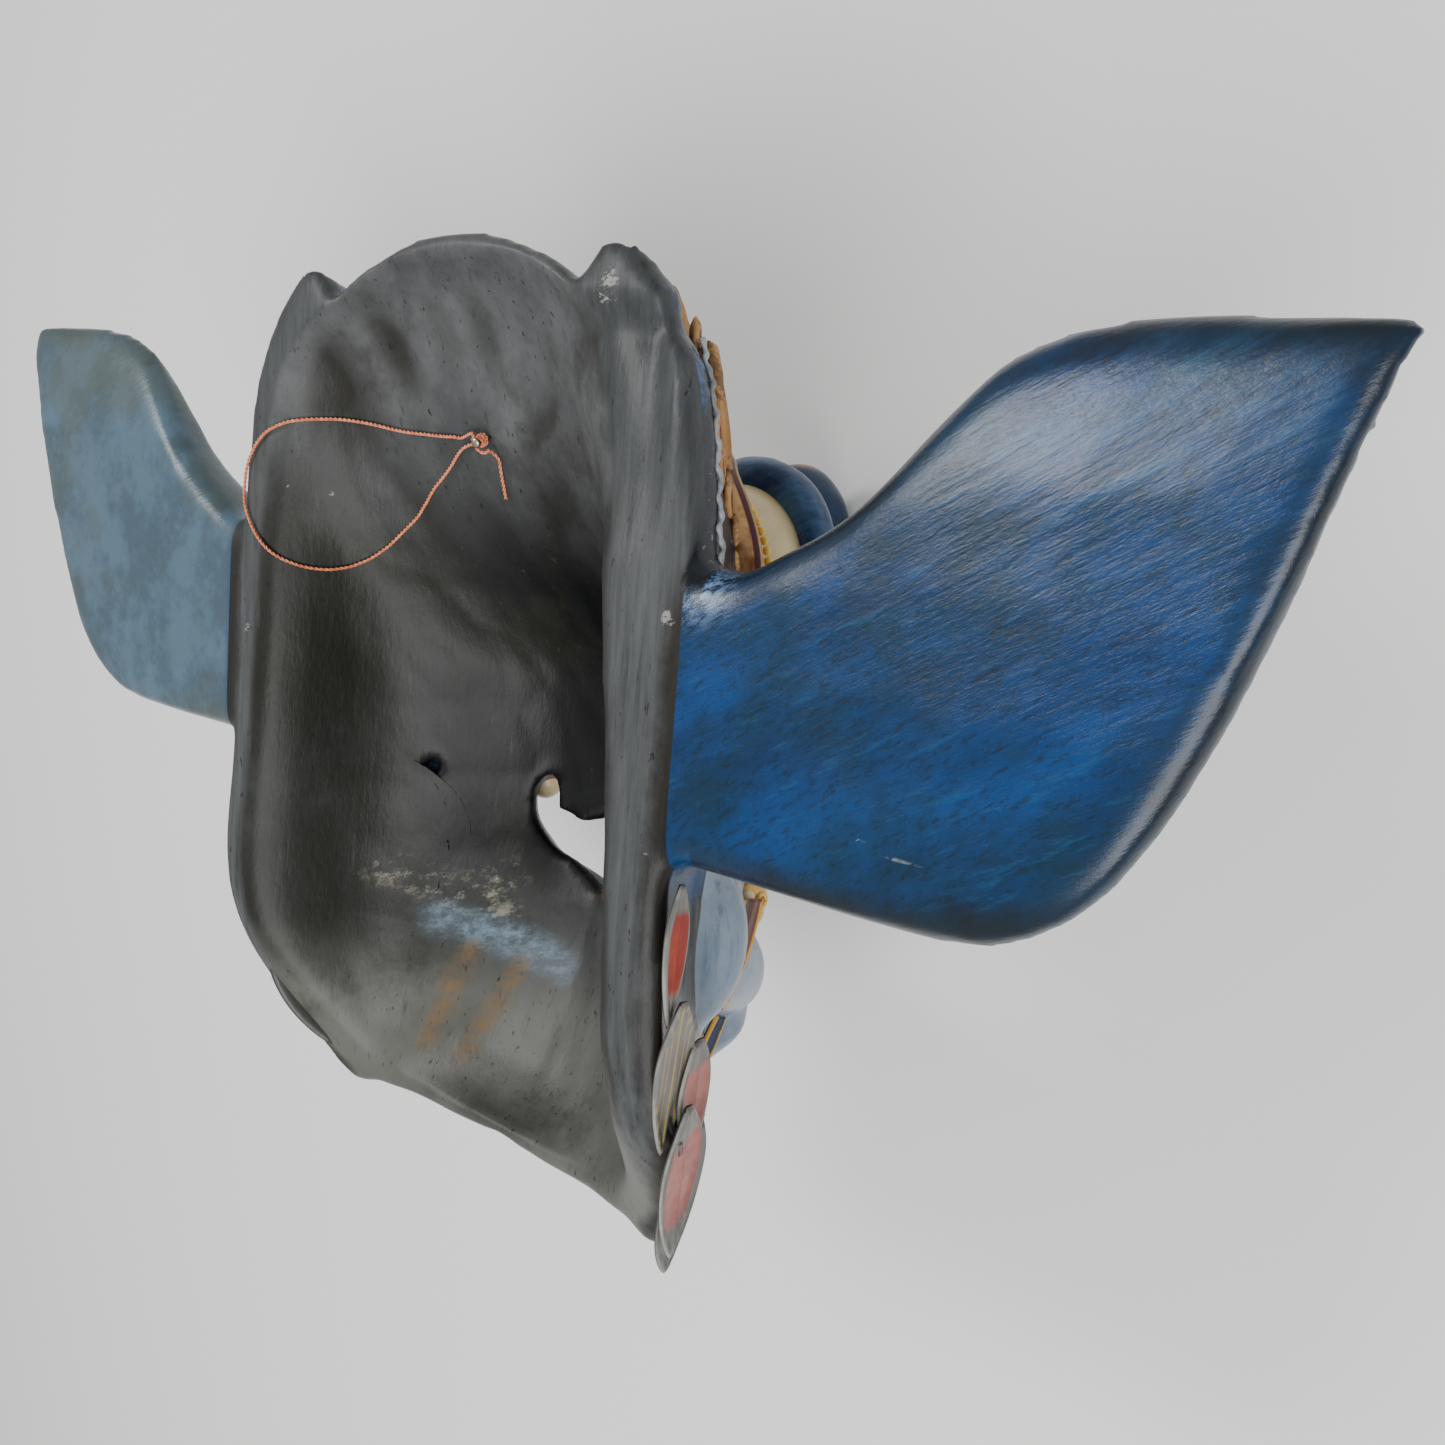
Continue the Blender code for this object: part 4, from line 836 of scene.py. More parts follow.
scratched = m.add("MULTIPLY", m.add("ramp", m.add("field", attribute_name="off_scratch"), 0.9, 0.4),
                  m.add("ramp", fleck, 0.46, 0.6, 0.0, 0.7))
blue = m.add("mix", m.add("MULTIPLY", scratched, m.add("ramp", pz, 0.2, 0.204)), blue, "#8e9a98")
ear_edge = m.add("ADD", m.add("field", attribute_name="ear_edge"),
                 m.add("MULTIPLY", m.add("SUBTRACT", blotch, 0.5), 34.0))
smudge = m.add("MULTIPLY", m.add("ramp", ear_edge, 13.0, 2.0), m.add("ramp", cloud, 0.3, 0.55))
blue = m.add("mix", m.add("MULTIPLY", smudge, 0.85), blue, "#15150f")
# Painted highlight: a pale band along the upper ear, above the crease
pale = m.add("MULTIPLY", m.add("ramp", m.add("field", attribute_name="ear_upper"), 0.0, 0.9),
             m.add("ramp", slant, 0.4, 0.62))
blue = m.add("mix", m.add("MULTIPLY", pale, m.add("ramp", ear_edge, 4.0, 18.0, 0.0, 0.26)), blue,
             "#4f7c9e")
bevel = m.add("MULTIPLY", m.add("ramp", m.add("field", attribute_name="ear_edge"), 2.6, 1.4),
              m.add("ramp", brush, 0.35, 0.6))
blue = m.add("mix", m.add("MULTIPLY", bevel, 0.5), blue, "#59636a")
# Darker where the hollowness field is low
blue = m.add("mix",
             m.add("MULTIPLY", m.add("ramp", m.add("field", attribute_name="hollowness"), -0.12, -0.5),
                   0.35), blue, "#1b2b33")
root_scuff = m.add("MULTIPLY", m.near((0.262, 0.004, -0.006), (0.003, 0.015)),
                   m.add("ramp", fleck, 0.42, 0.58))
blue = m.add("mix", m.add("MULTIPLY", root_scuff, 0.8), blue, "#8aa9cc")
# Painted sheen: the left ear turns paler grey-blue, with olive patches
left_ear_sheen = m.add("MULTIPLY", m.add("ramp", px, -0.111, -0.12), 0.8)
blue = m.add("mix", left_ear_sheen, blue, m.add("mix", m.add("ramp", blotch, 0.4, 0.6), "#4c5f66", "#5d7686"))
left_ear_olive_sheen = m.add("MULTIPLY", m.add("ramp", px, -0.111, -0.12), m.add("ramp", cloud, 0.5, 0.62))
blue = m.add("mix", m.add("MULTIPLY", left_ear_olive_sheen, 0.5), blue, "#4f5647")
cheek = m.add("mix", m.add("ramp", cloud, 0.35, 0.65), "#6d8094", "#9aa9b6")
cheek = m.add("mix",
              m.add("MULTIPLY", m.add("ramp", upright, 0.5, 0.64),
                    m.add("ramp", py, 0.03, -0.06, 0.8, 0.25)), cheek, "#2b3440")
between = m.add("MULTIPLY", m.add("ramp", py, -0.024, -0.034), m.add("ramp", wide, 0.07, 0.08))
between = m.add("MULTIPLY", between, m.add("ramp", wide, 0.1145, 0.112))
blue = m.add("mix", between, blue, m.add("mix", m.add("ramp", upright, 0.35, 0.65), "#2a2b2a", "#5d5e5b"))
face = m.add("mix", m.add("ramp", m.add("field", attribute_name="cheek"), -0.4, 0.2), blue, cheek)
face = m.add("mix", m.add("ramp", m.add("field", attribute_name="lid"), -0.3, 0.3), face,
             m.add("mix", m.add("ramp", brush, 0.4, 0.62), "#0e3763", "#4a7197"))
lip_blue = m.add("mix", m.add("ramp", brush, 0.35, 0.65), "#4d6784", "#7f90a2")
lip = m.add("mix", m.add("ramp", brush, 0.35, 0.65), "#7c2416", "#a8341b")
lip = m.add("mix", m.add("ramp", m.add("field", attribute_name="lip_red"), -0.15, 0.15), lip_blue, lip)
low_face = m.add("MAXIMUM", m.add("field", attribute_name="lip"), m.add("field", attribute_name="chin"))
face = m.add("mix", m.add("MULTIPLY", m.add("ramp", low_face, -0.3, 0.1), m.add("ramp", pz, 0.165, 0.15)),
             face, lip)
# Painted highlight: an orange-gold spot on top of the trunk's tip
tip_highlight = m.near((0.0, 0.425, 0.088), (0.003, 0.009))
face = m.add("mix", m.add("MULTIPLY", tip_highlight, m.add("ramp", blotch, 0.35, 0.55)), face, "#d8a468")
side_grey = m.add("mix", m.add("ramp", brush, 0.35, 0.65), "#121519", "#2b323b")
side_grey = m.add("mix",
                  m.add("MULTIPLY", m.add("ramp", py, 0.088, 0.108), m.add("ramp", blotch, 0.42, 0.56)),
                  side_grey, "#3b6c9f")
side_grey = m.add("mix", m.add("MULTIPLY", m.add("ramp", flaked, 0.6, 0.68), 0.7), side_grey, "#8d8f8a")
crown_side = m.add("MULTIPLY", m.add("ramp", past_crest, -0.1, 0.15), m.add("ramp", py, 0.056, 0.062))
crown_side = m.add("MULTIPLY", crown_side, m.add("ramp", wide, 0.085, 0.09))
crown_side = m.add("MULTIPLY", crown_side, m.add("ramp", wide, 0.112, 0.1105))
on_crown = m.add("MULTIPLY", m.add("ramp", py, 0.052, 0.06), m.add("ramp", pz, 0.176, 0.184))
on_crown = m.add("MULTIPLY", on_crown, m.add("ramp", wide, 0.112, 0.1105))
on_crown = m.add("MULTIPLY", on_crown, m.add("ramp", wide, 0.06, 0.072))
face = m.add("mix", m.add("MAXIMUM", on_crown, crown_side), face, side_grey)
ear_line = m.add("MAXIMUM", m.add("ramp", px, 0.1058, 0.1064), m.add("ramp", px, -0.1155, -0.1163))
is_ear = m.add("MULTIPLY", ear_line, m.add("ramp", m.add("field", attribute_name="ear"), -5.6, -4.5))
is_ear = m.add("MULTIPLY", is_ear, m.add("ramp", py, -0.0195, -0.0175))
is_ear = m.add("MULTIPLY", is_ear,
               m.add("ramp", m.add("SUBTRACT", py, m.add("MULTIPLY", wide, 0.9)), -0.03, -0.034))
is_ear = m.add("MAXIMUM", is_ear, m.add("ramp", wide, 0.116, 0.117))
wobble = m.add("MULTIPLY", m.add("SUBTRACT", blotch, 0.5), 0.35)
is_back = m.add("ramp", m.add("ADD", m.add("field", attribute_name="back"), wobble), -0.03, 0.06)
is_back = m.add("MULTIPLY", is_back, m.add("SUBTRACT", 1.0, m.add("MAXIMUM", is_ear, crown_side)))
red_edge = m.add("MAXIMUM", m.near((0.03, 0.2, -0.272), (0.01, 0.014)),
                 m.near((-0.02, 0.204, -0.256), (0.006, 0.01)))
# Old varnish has darkened all of it
varnish = m.add("share", is_back, 0.12, 0.27)
worn_red = m.add("mix", m.add("ramp", blotch, 0.4, 0.6), "#7c2410", "#b8683a")
m.wear("Base Color",
       m.add("mix", varnish, m.add("mix", red_edge, m.add("mix", is_back, face, black), worn_red),
             "#000000"))
shine = m.add("share", is_back, 0.27, 0.42)
rough = m.add("ADD", shine, m.add("MULTIPLY", m.add("SUBTRACT", cloud, 0.5), 0.25))
m.wear("Roughness", rough)
m.wear("Specular IOR Level", m.add("share", is_back, 0.40, 0.26))
inside = m.add("ADD", m.add("MULTIPLY", upright, 0.5), m.add("MULTIPLY", pores, 0.6))
outside = m.add("ADD", m.add("MULTIPLY", slant, 0.9), m.add("MULTIPLY", fleck, 0.3))
relief = m.add("mix", is_back, outside, inside)
relief = m.add("ADD", relief, m.add("MULTIPLY", blotch, 0.8))
m.wear("Normal", m.add("bump", Strength=0.22, Distance=0.001, Height=relief))


def show(piece, finish, node="mask"):
    """A finished piece joins the object, inside the solid's own box."""
    move_points(piece.data, np.clip(positions(piece.data), cad_box[0], cad_box[1]))
    piece.data.materials.clear()
    piece.data.materials.append(finish)
    for polygon in piece.data.polygons:
        polygon.use_smooth = True
    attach(piece, "root")
    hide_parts(node)


show(mask, m.finish)


def outward(x, z):
    """The shell's outward direction at a place on the face."""
    step = 0.004
    dx = float(face_at(x + step, z) - face_at(x - step, z)) / (2 * step)
    dz = float(face_at(x, z + step) - face_at(x, z - step)) / (2 * step)
    return Vector((-dx, 1.0, -dz)).normalized()


def on_face(x, z, lift):
    """A place on the outside of the shell, lifted off it."""
    n = outward(x, z)
    return Vector((x, float(face_at(x, z)), z)) + n * lift


def kept_outside(piece):
    """No point of an outer piece comes through the wall into the hollow."""
    spots = positions(piece.data)
    x, d, z = mask_places(spots)
    over = (np.abs(x) < table(HOLLOW_HALF, z)) & (z > -0.478) & (z < 0.200)
    floor_d = hollow_at(x, z) + 0.012
    low = over & (d < floor_d)
    spots[low, 2] = (FACE_DEPTH - floor_d[low]) * MASK_M
    move_points(piece.data, spots)


# The eyes
# Smooth bulging balls, cut from the same block as the face and sanded round. Each is painted
# cream, with a thin red ring and a black pupil.
eyes = gathered("eyes", [ball("eye", (side * EYE[0], EYE[1], EYE[2]), (EYE_R, EYE_R, EYE_R),
                              around=72, rows=40) for side in (1, -1)])
# Finish: glossy oil paint over primer, cream with brown crazing; it catches small highlights
m = Paint("cream_eye_paint", 0.28)
px = m.add("x", m.place)
py = m.add("y", m.place)
from_axis = m.add("SUBTRACT", m.add("ABSOLUTE", px), EYE[0] * MASK_M)
up_face = m.add("SUBTRACT", py, (EYE[2] - MIDDLE_Z) * MASK_M)
reach = m.add("SQRT",
              m.add("ADD", m.add("MULTIPLY", from_axis, from_axis), m.add("MULTIPLY", up_face, up_face)))
cream = m.add("mix", m.add("ramp", m.add("noise", m.place, Scale=30, Detail=5, Roughness=0.6), 0.35, 0.7),
              "#e6d7a8", "#cdb888")
ring = m.add("MULTIPLY", m.add("ramp", reach, 0.01, 0.0103), m.add("ramp", reach, 0.0128, 0.0125))
look = m.add("mix", ring, cream, "#7a1d12")
look = m.add("mix", m.add("ramp", reach, 0.0094, 0.0091), look, "#101010")
look = m.add("mix",
             m.add("MULTIPLY",
                   m.add("ramp", m.add("noise", m.place, Scale=90, Detail=6, Roughness=0.8), 0.6, 0.7),
                   0.4), look, "#8d7448")
m.wear("Base Color", look)
m.wear("Normal",
       m.add("bump", Strength=0.15, Distance=0.0006,
             Height=m.add("noise", m.place, Scale=120, Detail=4, Roughness=0.6)))
show(eyes, m.finish)

# The teeth and tusks
# Rounded blocks along the upper jaw, small teeth at the mouth's corners and two tapering tusks,
# all carved from the block. The tusks stand in ribbed gold caps and carry the mask when it lies.
teeth = []
for i in range(6):
    tx = -0.110 + 0.044 * i
    teeth.append(ball("tooth", (tx, 0.262 - 2.9 * tx * tx, -0.214), (0.0195, 0.016, 0.021),
                      around=28, rows=16))
# From root to tip: across, forward, up and radius
TUSK = [(0.122, 0.190, -0.168, 0.027), (0.148, 0.270, -0.184, 0.024), (0.170, 0.340, -0.198, 0.021),
        (0.184, 0.410, -0.208, 0.018), (0.190, 0.462, -0.210, 0.0145), (0.190, 0.500, -0.206, 0.011)]
TUSK_CAP = [(0.112, 0.165, -0.162, 0.035), (0.132, 0.222, -0.174, 0.034),
            (0.138, 0.243, -0.178, 0.030)]
for side in (1, -1):
    teeth.append(bar("tusk", [(side * tx, td, tz, r) for tx, td, tz, r in TUSK], 8, 28))
    for k in range(6):
        middle = (side * (0.204 - 0.002 * k), 0.147 + 0.0006 * k, -0.240 - 0.011 * k)
        teeth.append(ball("side_tooth", middle, (0.006, 0.007, 0.0065), around=14, rows=8))
teeth = gathered("teeth_and_tusks", teeth)
# The tusks stop at the table top, with a small flat
spots = positions(teeth.data)
spots[:, 2] = np.maximum(spots[:, 2], 0.0)
move_points(teeth.data, spots)
# Finish: cream paint gone yellow-brown along the grain, half glossy
m = Paint("aged_cream_paint", 0.34)
cream = m.add("mix", m.add("ramp", m.add("noise", m.place, Scale=26, Detail=6, Roughness=0.7), 0.3, 0.7),
              "#eadfb6", "#c9b582")
cream = m.add("mix",
              m.add("MULTIPLY",
                    m.add("ramp",
                          m.add("noise", m.add("turned", m.place, Scale=(1, 1, 1 / 0.3)), Scale=60,
                                Detail=6, Roughness=0.75), 0.55, 0.75), 0.6), cream, "#7d6538")
m.wear("Base Color", cream)
m.wear("Normal",
       m.add("bump", Strength=0.25, Distance=0.0008,
             Height=m.add("noise", m.add("turned", m.place, Scale=(1, 1, 1 / 0.3)), Scale=90, Detail=5,
                          Roughness=0.7)))
kept_outside(teeth)
show(teeth, m.finish)

caps = []
for side in (1, -1):
    stops = smooth_path([(side * tx, td, tz, r) for tx, td, tz, r in TUSK_CAP], 14)
    rings_r = [q[3] * (1.0 + 0.07 * math.cos(2 * math.pi * k / 9.0)) for k, q in enumerate(stops)]
    caps.append(tube("tusk_cap", [tuple(q[:3]) for q in stops], rings_r, 36))
    caps.append(ball("mouth_scroll", (side * 0.168, 0.184, -0.262), (0.019, 0.019, 0.019)))
    caps.append(ball("lip_end", (side * 0.195, 0.158, -0.240), (0.012, 0.018, 0.010)))
    turn = [(side * 0.2075, 0.160 + 0.0048 * math.cos(a), -0.243 + 0.0048 * math.sin(a))
            for a in (2 * math.pi * k / 20 for k in range(21))]
    caps.append(tube("lip_ring", turn, [0.0019] * 21, 10))
caps = gathered("gold_caps", caps)
kept_outside(caps)


def gold_finish(name, base="#c08a3a", light="#e0b45e", dark="#5a2a18"):
    """Gold paint worn to its dark primer, and its mottled colour."""
    g = Paint(name, 0.38, 0.25)
    tone = g.add("mix",
                 g.add("ramp", g.add("noise", g.place, Scale=40, Detail=6, Roughness=0.7), 0.3, 0.7),
                 base, light)
    tone = g.add("mix",
                 g.add("MULTIPLY",
                       g.add("ramp",
                             g.add("noise", g.add("turned", g.place, Location=(0.5, 0, 0)), Scale=70,
                                   Detail=6, Roughness=0.8), 0.54, 0.72), 0.8), tone, dark)
    return g, tone


# Finish: bronze-powder paint, rubbed through to the brown primer on the ridges
m, tone = gold_finish("rubbed_gold_paint")
m.wear("Base Color", tone)
m.wear("Normal",
       m.add("bump", Strength=0.3, Distance=0.0008,
             Height=m.add("noise", m.place, Scale=140, Detail=5, Roughness=0.7)))
gold = m.finish
show(caps, gold)


# The leaves
# A fringe of pointed leaves round the cheeks and chin and flame leaves on the crown, carved from
# the same block as the face. Each has a raised pale border and a dished, painted heart.
def leaf(name, root, tip, width, thick, out, kind=0.0, blunt=0.5, long_steps=26, wide_steps=14):
    """A blade with a raised border, a dished heart and a midrib; fields say where its border is."""
    a = Vector(root)
    b = Vector(tip)
    along = b - a
    length = along.length
    along.normalize()
    up = Vector(out) - along * Vector(out).dot(along)
    up.normalize()
    across = along.cross(up)
    tops = []
    unders = []
    rims = []
    sides = []
    lengths = []
    for i in range(long_steps + 1):
        t = i / long_steps
        if t < 0.38:
            w = blunt + (1 - blunt) * math.sin(math.pi / 2 * t / 0.38)
        else:
            w = math.cos(math.pi / 2 * (t - 0.38) / 0.62) ** 0.8
        w = max(w, 0.02) * width / 2
        swell = 1.0 - 0.35 * t
        for k in range(wide_steps + 1):
            u = -1 + 2 * k / wide_steps
            inside = min((1 - abs(u)) * w, (1 - t) * length * 0.6)
            border = min(inside / 0.0052, 1.0)
            ridge = math.sin(math.pi * border) if border < 1 else 0.0
            heart = 0.0 if border < 1 else 1.0
            rib = math.exp(-(u * w / 0.0022) ** 2) * heart
            rounding = min(inside / 0.004, 1.0)
            h = thick / 2 * swell * (0.35 + 0.65 * rounding) + 0.0030 * ridge * min(thick / 0.016, 1.0)
            h += 0.0022 * rib - 0.0016 * heart
            c = a + along * (length * t) + across * (u * w)
            tops.append(tuple(c + up * h))
            unders.append(tuple(c - up * (thick * 0.4 * rounding)))
            rims.append(inside)
            sides.append(u * w * MASK_M * 1000)
            lengths.append(t)
    n = wide_steps + 1
    faces = []
    for i in range(long_steps):
        for k in range(wide_steps):
            q = i * n + k
            faces.append((q, q + 1, q + n + 1, q + n))
            faces.append(tuple(len(tops) + v for v in (q, q + n, q + n + 1, q + 1)))
    border = ([(i * n, (i + 1) * n) for i in range(long_steps)]
              + [(long_steps * n + k, long_steps * n + k + 1) for k in range(wide_steps)]
              + [((i + 1) * n + n - 1, i * n + n - 1) for i in reversed(range(long_steps))]
              + [(k + 1, k) for k in reversed(range(wide_steps))])
    for v, w in border:
        faces.append((v, w, len(tops) + w, len(tops) + v))
    piece = raw_mesh(name, tops + unders, faces)
    add_field(piece.data, "inset", [r * MASK_M * 1000 for r in rims] + [-1.0] * len(unders))
    add_field(piece.data, "side", sides * 2)
    add_field(piece.data, "along", lengths * 2)
    add_field(piece.data, "kind", [kind] * (2 * len(rims)))
    return piece


# The painted patterns: a red or pink heart, fine ochre lines, plain grey, maroon, dark blue
RED, PINK, LINED, PLAIN, MAROON, DARK_BLUE = range(6)
# Root, tip, width, bluntness of the root and painted pattern, on the right; the left mirrors them
SIDE_LEAVES = [
    ((0.252, 0.022, -0.200), (0.256, 0.014, -0.293), 0.032, 0.2, RED),
    ((0.261, 0.022, -0.276), (0.250, 0.024, -0.384), 0.050, 0.2, LINED),
    ((0.252, 0.050, -0.312), (0.240, 0.064, -0.408), 0.044, 0.4, PINK),
    ((0.262, 0.034, -0.350), (0.232, 0.062, -0.478), 0.054, 0.2, PINK),
    ((0.240, 0.066, -0.385), (0.202, 0.092, -0.514), 0.064, 0.5, PLAIN),
    ((0.213, 0.142, -0.238), (0.207, 0.127, -0.320), 0.040, 0.9, MAROON),
    ((0.182, 0.154, -0.338), (0.176, 0.134, -0.392), 0.026, 0.8, DARK_BLUE),
]
# Under the chin: root on the face, tip, width
LOW_LEAVES = [
    ((0.170, -0.412), (0.160, -0.508, 0.118), 0.058), ((0.120, -0.438), (0.122, -0.514, 0.142), 0.054),
    ((0.074, -0.446), (0.078, -0.520, 0.158), 0.052), ((0.028, -0.448), (0.029, -0.522, 0.168), 0.048),
]
# On the crown: root and tip on the face, width
FLAMES = [((0.0, 0.118), (0.0, 0.214), 0.060), ((0.062, 0.112), (0.070, 0.184), 0.054),
          ((0.118, 0.098), (0.126, 0.158), 0.050), ((0.165, 0.082), (0.166, 0.176), 0.050),
          ((0.200, 0.058), (0.206, 0.140), 0.042)]


def on_left(x, d, z):
    """A side leaf's place on the wider left, tucked in under the rim."""
    return (-x / float(table(RIGHT_SHARE, z)) + 0.036, d + 0.008, max(z, -0.462))


fringe = []
for side in (1, -1):
    for root, tip, wide_leaf, blunt, kind in SIDE_LEAVES:
        if side < 0:
            root = on_left(*root)
            tip = on_left(*tip)
        fringe.append(leaf("side_leaf", root, tip, wide_leaf, 0.005, (side, 0.25, -0.05), kind, blunt))
    for k, ((rx, rz), (tx, tz, td), wide_leaf) in enumerate(LOW_LEAVES):
        root = on_face(on_right(side * rx, rz), rz, 0.0)
        tip = (on_right(side * tx, tz), td, tz if side > 0 else tz + 0.022)
        fringe.append(leaf("fringe_leaf", root, tip, wide_leaf, 0.016, (side * rx * 1.5, 0.35, -0.2),
                           RED if k % 2 else PINK))
fringe = gathered("fringe_leaves", fringe)
kept_outside(fringe)
# Finish: grey, red and pink brush paint with pale outlines, half matt and a little streaky
m = Paint("leaf_paint_red_hearts", 0.42)
edge = m.add("field", attribute_name="inset")
kind = m.add("field", attribute_name="kind")
along = m.add("field", attribute_name="along")
across = m.add("field", attribute_name="side")


def chosen(number):
    """1 on the leaves of one painted pattern."""
    return m.add("COMPARE", kind, float(number), 0.4)


heart = m.add("mix", m.add("ramp", m.add("noise", m.place, Scale=60, Detail=5, Roughness=0.6), 0.4, 0.6),
              "#8f220d", "#b03a18")
heart = m.add("mix", chosen(PINK), heart,
              m.add("mix",
                    m.add("ramp", m.add("noise", m.place, Scale=60, Detail=5, Roughness=0.6), 0.4, 0.6),
                    "#8e443e", "#a8665c"))
look = m.add("mix",
             m.add("ramp",
                   m.add("noise", m.add("turned", m.place, Scale=(1, 1 / 0.3, 1)), Scale=50, Detail=6,
                         Roughness=0.7), 0.35, 0.65), "#474743", "#7b7a74")
hearted = m.add("MAXIMUM", chosen(RED), chosen(PINK))
oval = m.add("MULTIPLY", m.add("ramp", edge, 1.5, 1.8),
             m.add("MULTIPLY", m.add("ramp", along, 0.16, 0.24), m.add("ramp", along, 0.8, 0.72)))
look = m.add("mix", m.add("MULTIPLY", hearted, oval), look, heart)
fine_lines = m.add("ramp", m.add("SINE", m.add("MULTIPLY", across, 2.6)), 0.8, 0.95)
lined = m.add("MAXIMUM", chosen(LINED),
              m.add("MULTIPLY", chosen(PLAIN), m.add("ramp", along, 0.6, 0.5, 0.0, 0.4)))
look = m.add("mix", m.add("MULTIPLY", lined, fine_lines), look, "#b29256")
look = m.add("mix", m.add("MULTIPLY", chosen(PLAIN), 0.55), look, "#3c3c39")
look = m.add("mix", chosen(MAROON), look,
             m.add("mix",
                   m.add("ramp", m.add("noise", m.place, Scale=40, Detail=5, Roughness=0.6), 0.35, 0.65),
                   "#4a2622", "#6b3a34"))
look = m.add("mix", chosen(DARK_BLUE), look, "#17284a")
line = m.add("mix", m.add("ramp", m.add("noise", m.place, Scale=80, Detail=5, Roughness=0.7), 0.35, 0.7),
             "#9d9b92", "#6e6e6a")
line = m.add("mix", m.add("MAXIMUM", chosen(MAROON), chosen(DARK_BLUE)), line, "#d09a26")
outlined = m.add("MULTIPLY", m.add("ramp", edge, 0.9, 0.6), m.add("ramp", kind, 2.9, 2.8, 0.35, 1.0))
outlined = m.add("MAXIMUM", outlined,
                 m.add("MULTIPLY", m.add("ramp", kind, 3.4, 3.6), m.add("ramp", edge, 1.9, 1.7)))
look = m.add("mix", outlined, look, line)
look = m.add("mix", m.add("ramp", edge, 0.15, -0.1), look, "#3a3936")
m.wear("Base Color", look)
m.wear("Normal",
       m.add("bump", Strength=0.3, Distance=0.0008,
             Height=m.add("noise", m.place, Scale=150, Detail=5, Roughness=0.7)))
show(fringe, m.finish)

flames = []
for (rx, rz), (tx, tz), wide_leaf in FLAMES:
    for side in ((1, -1) if rx else (1,)):
        root = on_face(side * rx, rz, 0.0)
        tip = on_face(side * tx, tz, 0.005)
        flames.append(leaf("flame_leaf", root, tip, wide_leaf, 0.016, outward(side * rx, rz)))
EDGE_LINE = [(-0.030, 0.240), (0.050, 0.230), (0.110, 0.214), (0.170, 0.184)]
for side in (1, -1):
    for k in range(9):
        sz = 0.142 - 0.0200 * k
        sx = side * float(table(EDGE_LINE, sz))
        root = on_face(sx, sz - 0.010, -0.003)
        tip = root + Vector((side * -0.003, 0.000, 0.027))
        flames.append(leaf("side_spike", root, tip, 0.020, 0.008, (side * 1.0, 0.7, 0.0), 0.0, 0.5, 14, 8))
flames = gathered("crown_flames", flames)
kept_outside(flames)
# Finish: dull gold borders round maroon hearts, flaked to the dark primer
m, tone = gold_finish("gold_and_maroon_leaf_paint", "#a4713a", "#cfa368")
edge = m.add("field", attribute_name="inset")
heart = m.add("mix", m.add("ramp", m.add("noise", m.place, Scale=30, Detail=4, Roughness=0.6), 0.4, 0.6),
              "#4a1f1a", "#6e2818")
look = m.add("mix", m.add("ramp", edge, 2.0, 2.3), tone, heart)
m.wear("Base Color",
       m.add("mix",
             m.add("MULTIPLY",
                   m.add("ramp", m.add("noise", m.place, Scale=90, Detail=5, Roughness=0.8), 0.5, 0.6),
                   0.7), look, "#4f2a18"))
m.wear("Normal",
       m.add("bump", Strength=0.3, Distance=0.0008,
             Height=m.add("noise", m.place, Scale=150, Detail=5, Roughness=0.7)))
show(flames, m.finish)


# The diadem
# A carved band over the brow and down the temples: gold along the crown side, a maroon line, then
# a punched tan ground and a row of yellow beads on the eye side, with a rosette in the middle
# The band's middle line, across and up, from temple to brow
BAND = [(0.236, -0.085), (0.238, -0.040), (0.232, 0.005), (0.214, 0.038), (0.178, 0.062),
        (0.125, 0.075), (0.062, 0.082), (0.0, 0.084)]
half_band = [(x, 0.0, z, 0.0) for x, z in BAND]
line = smooth_path([(-x, a, z, r) for x, a, z, r in half_band] + half_band[-2::-1], 20)
line = [(on_right(float(q[0]), float(q[2])), float(q[2])) for q in line]
spots = [Vector((x, float(face_at(x, z)), z)) for x, z in line]
reach = np.concatenate([[0.0], np.cumsum([(b - a).length for a, b in zip(spots, spots[1:])])])
even = np.linspace(0, reach[-1], 420)
line = [(float(np.interp(at, reach, [c.x for c in spots])),
         float(np.interp(at, reach, [c.z for c in spots]))) for at in even]
spots = [Vector((x, float(face_at(x, z)), z)) for x, z in line]
HALF_BAND = 0.0175
WIDE_STEPS = 26
HOLE_PITCH_M = 0.0052
HOLE_ROW_M = 0.0046


def band_axes(i):
    """Out of the wood and across the band, at one step along it."""
    n = outward(spots[i].x, spots[i].z)
    ahead = (spots[min(i + 2, len(spots) - 1)] - spots[max(i - 2, 0)]).normalized()
    return n, n.cross(ahead).normalized()


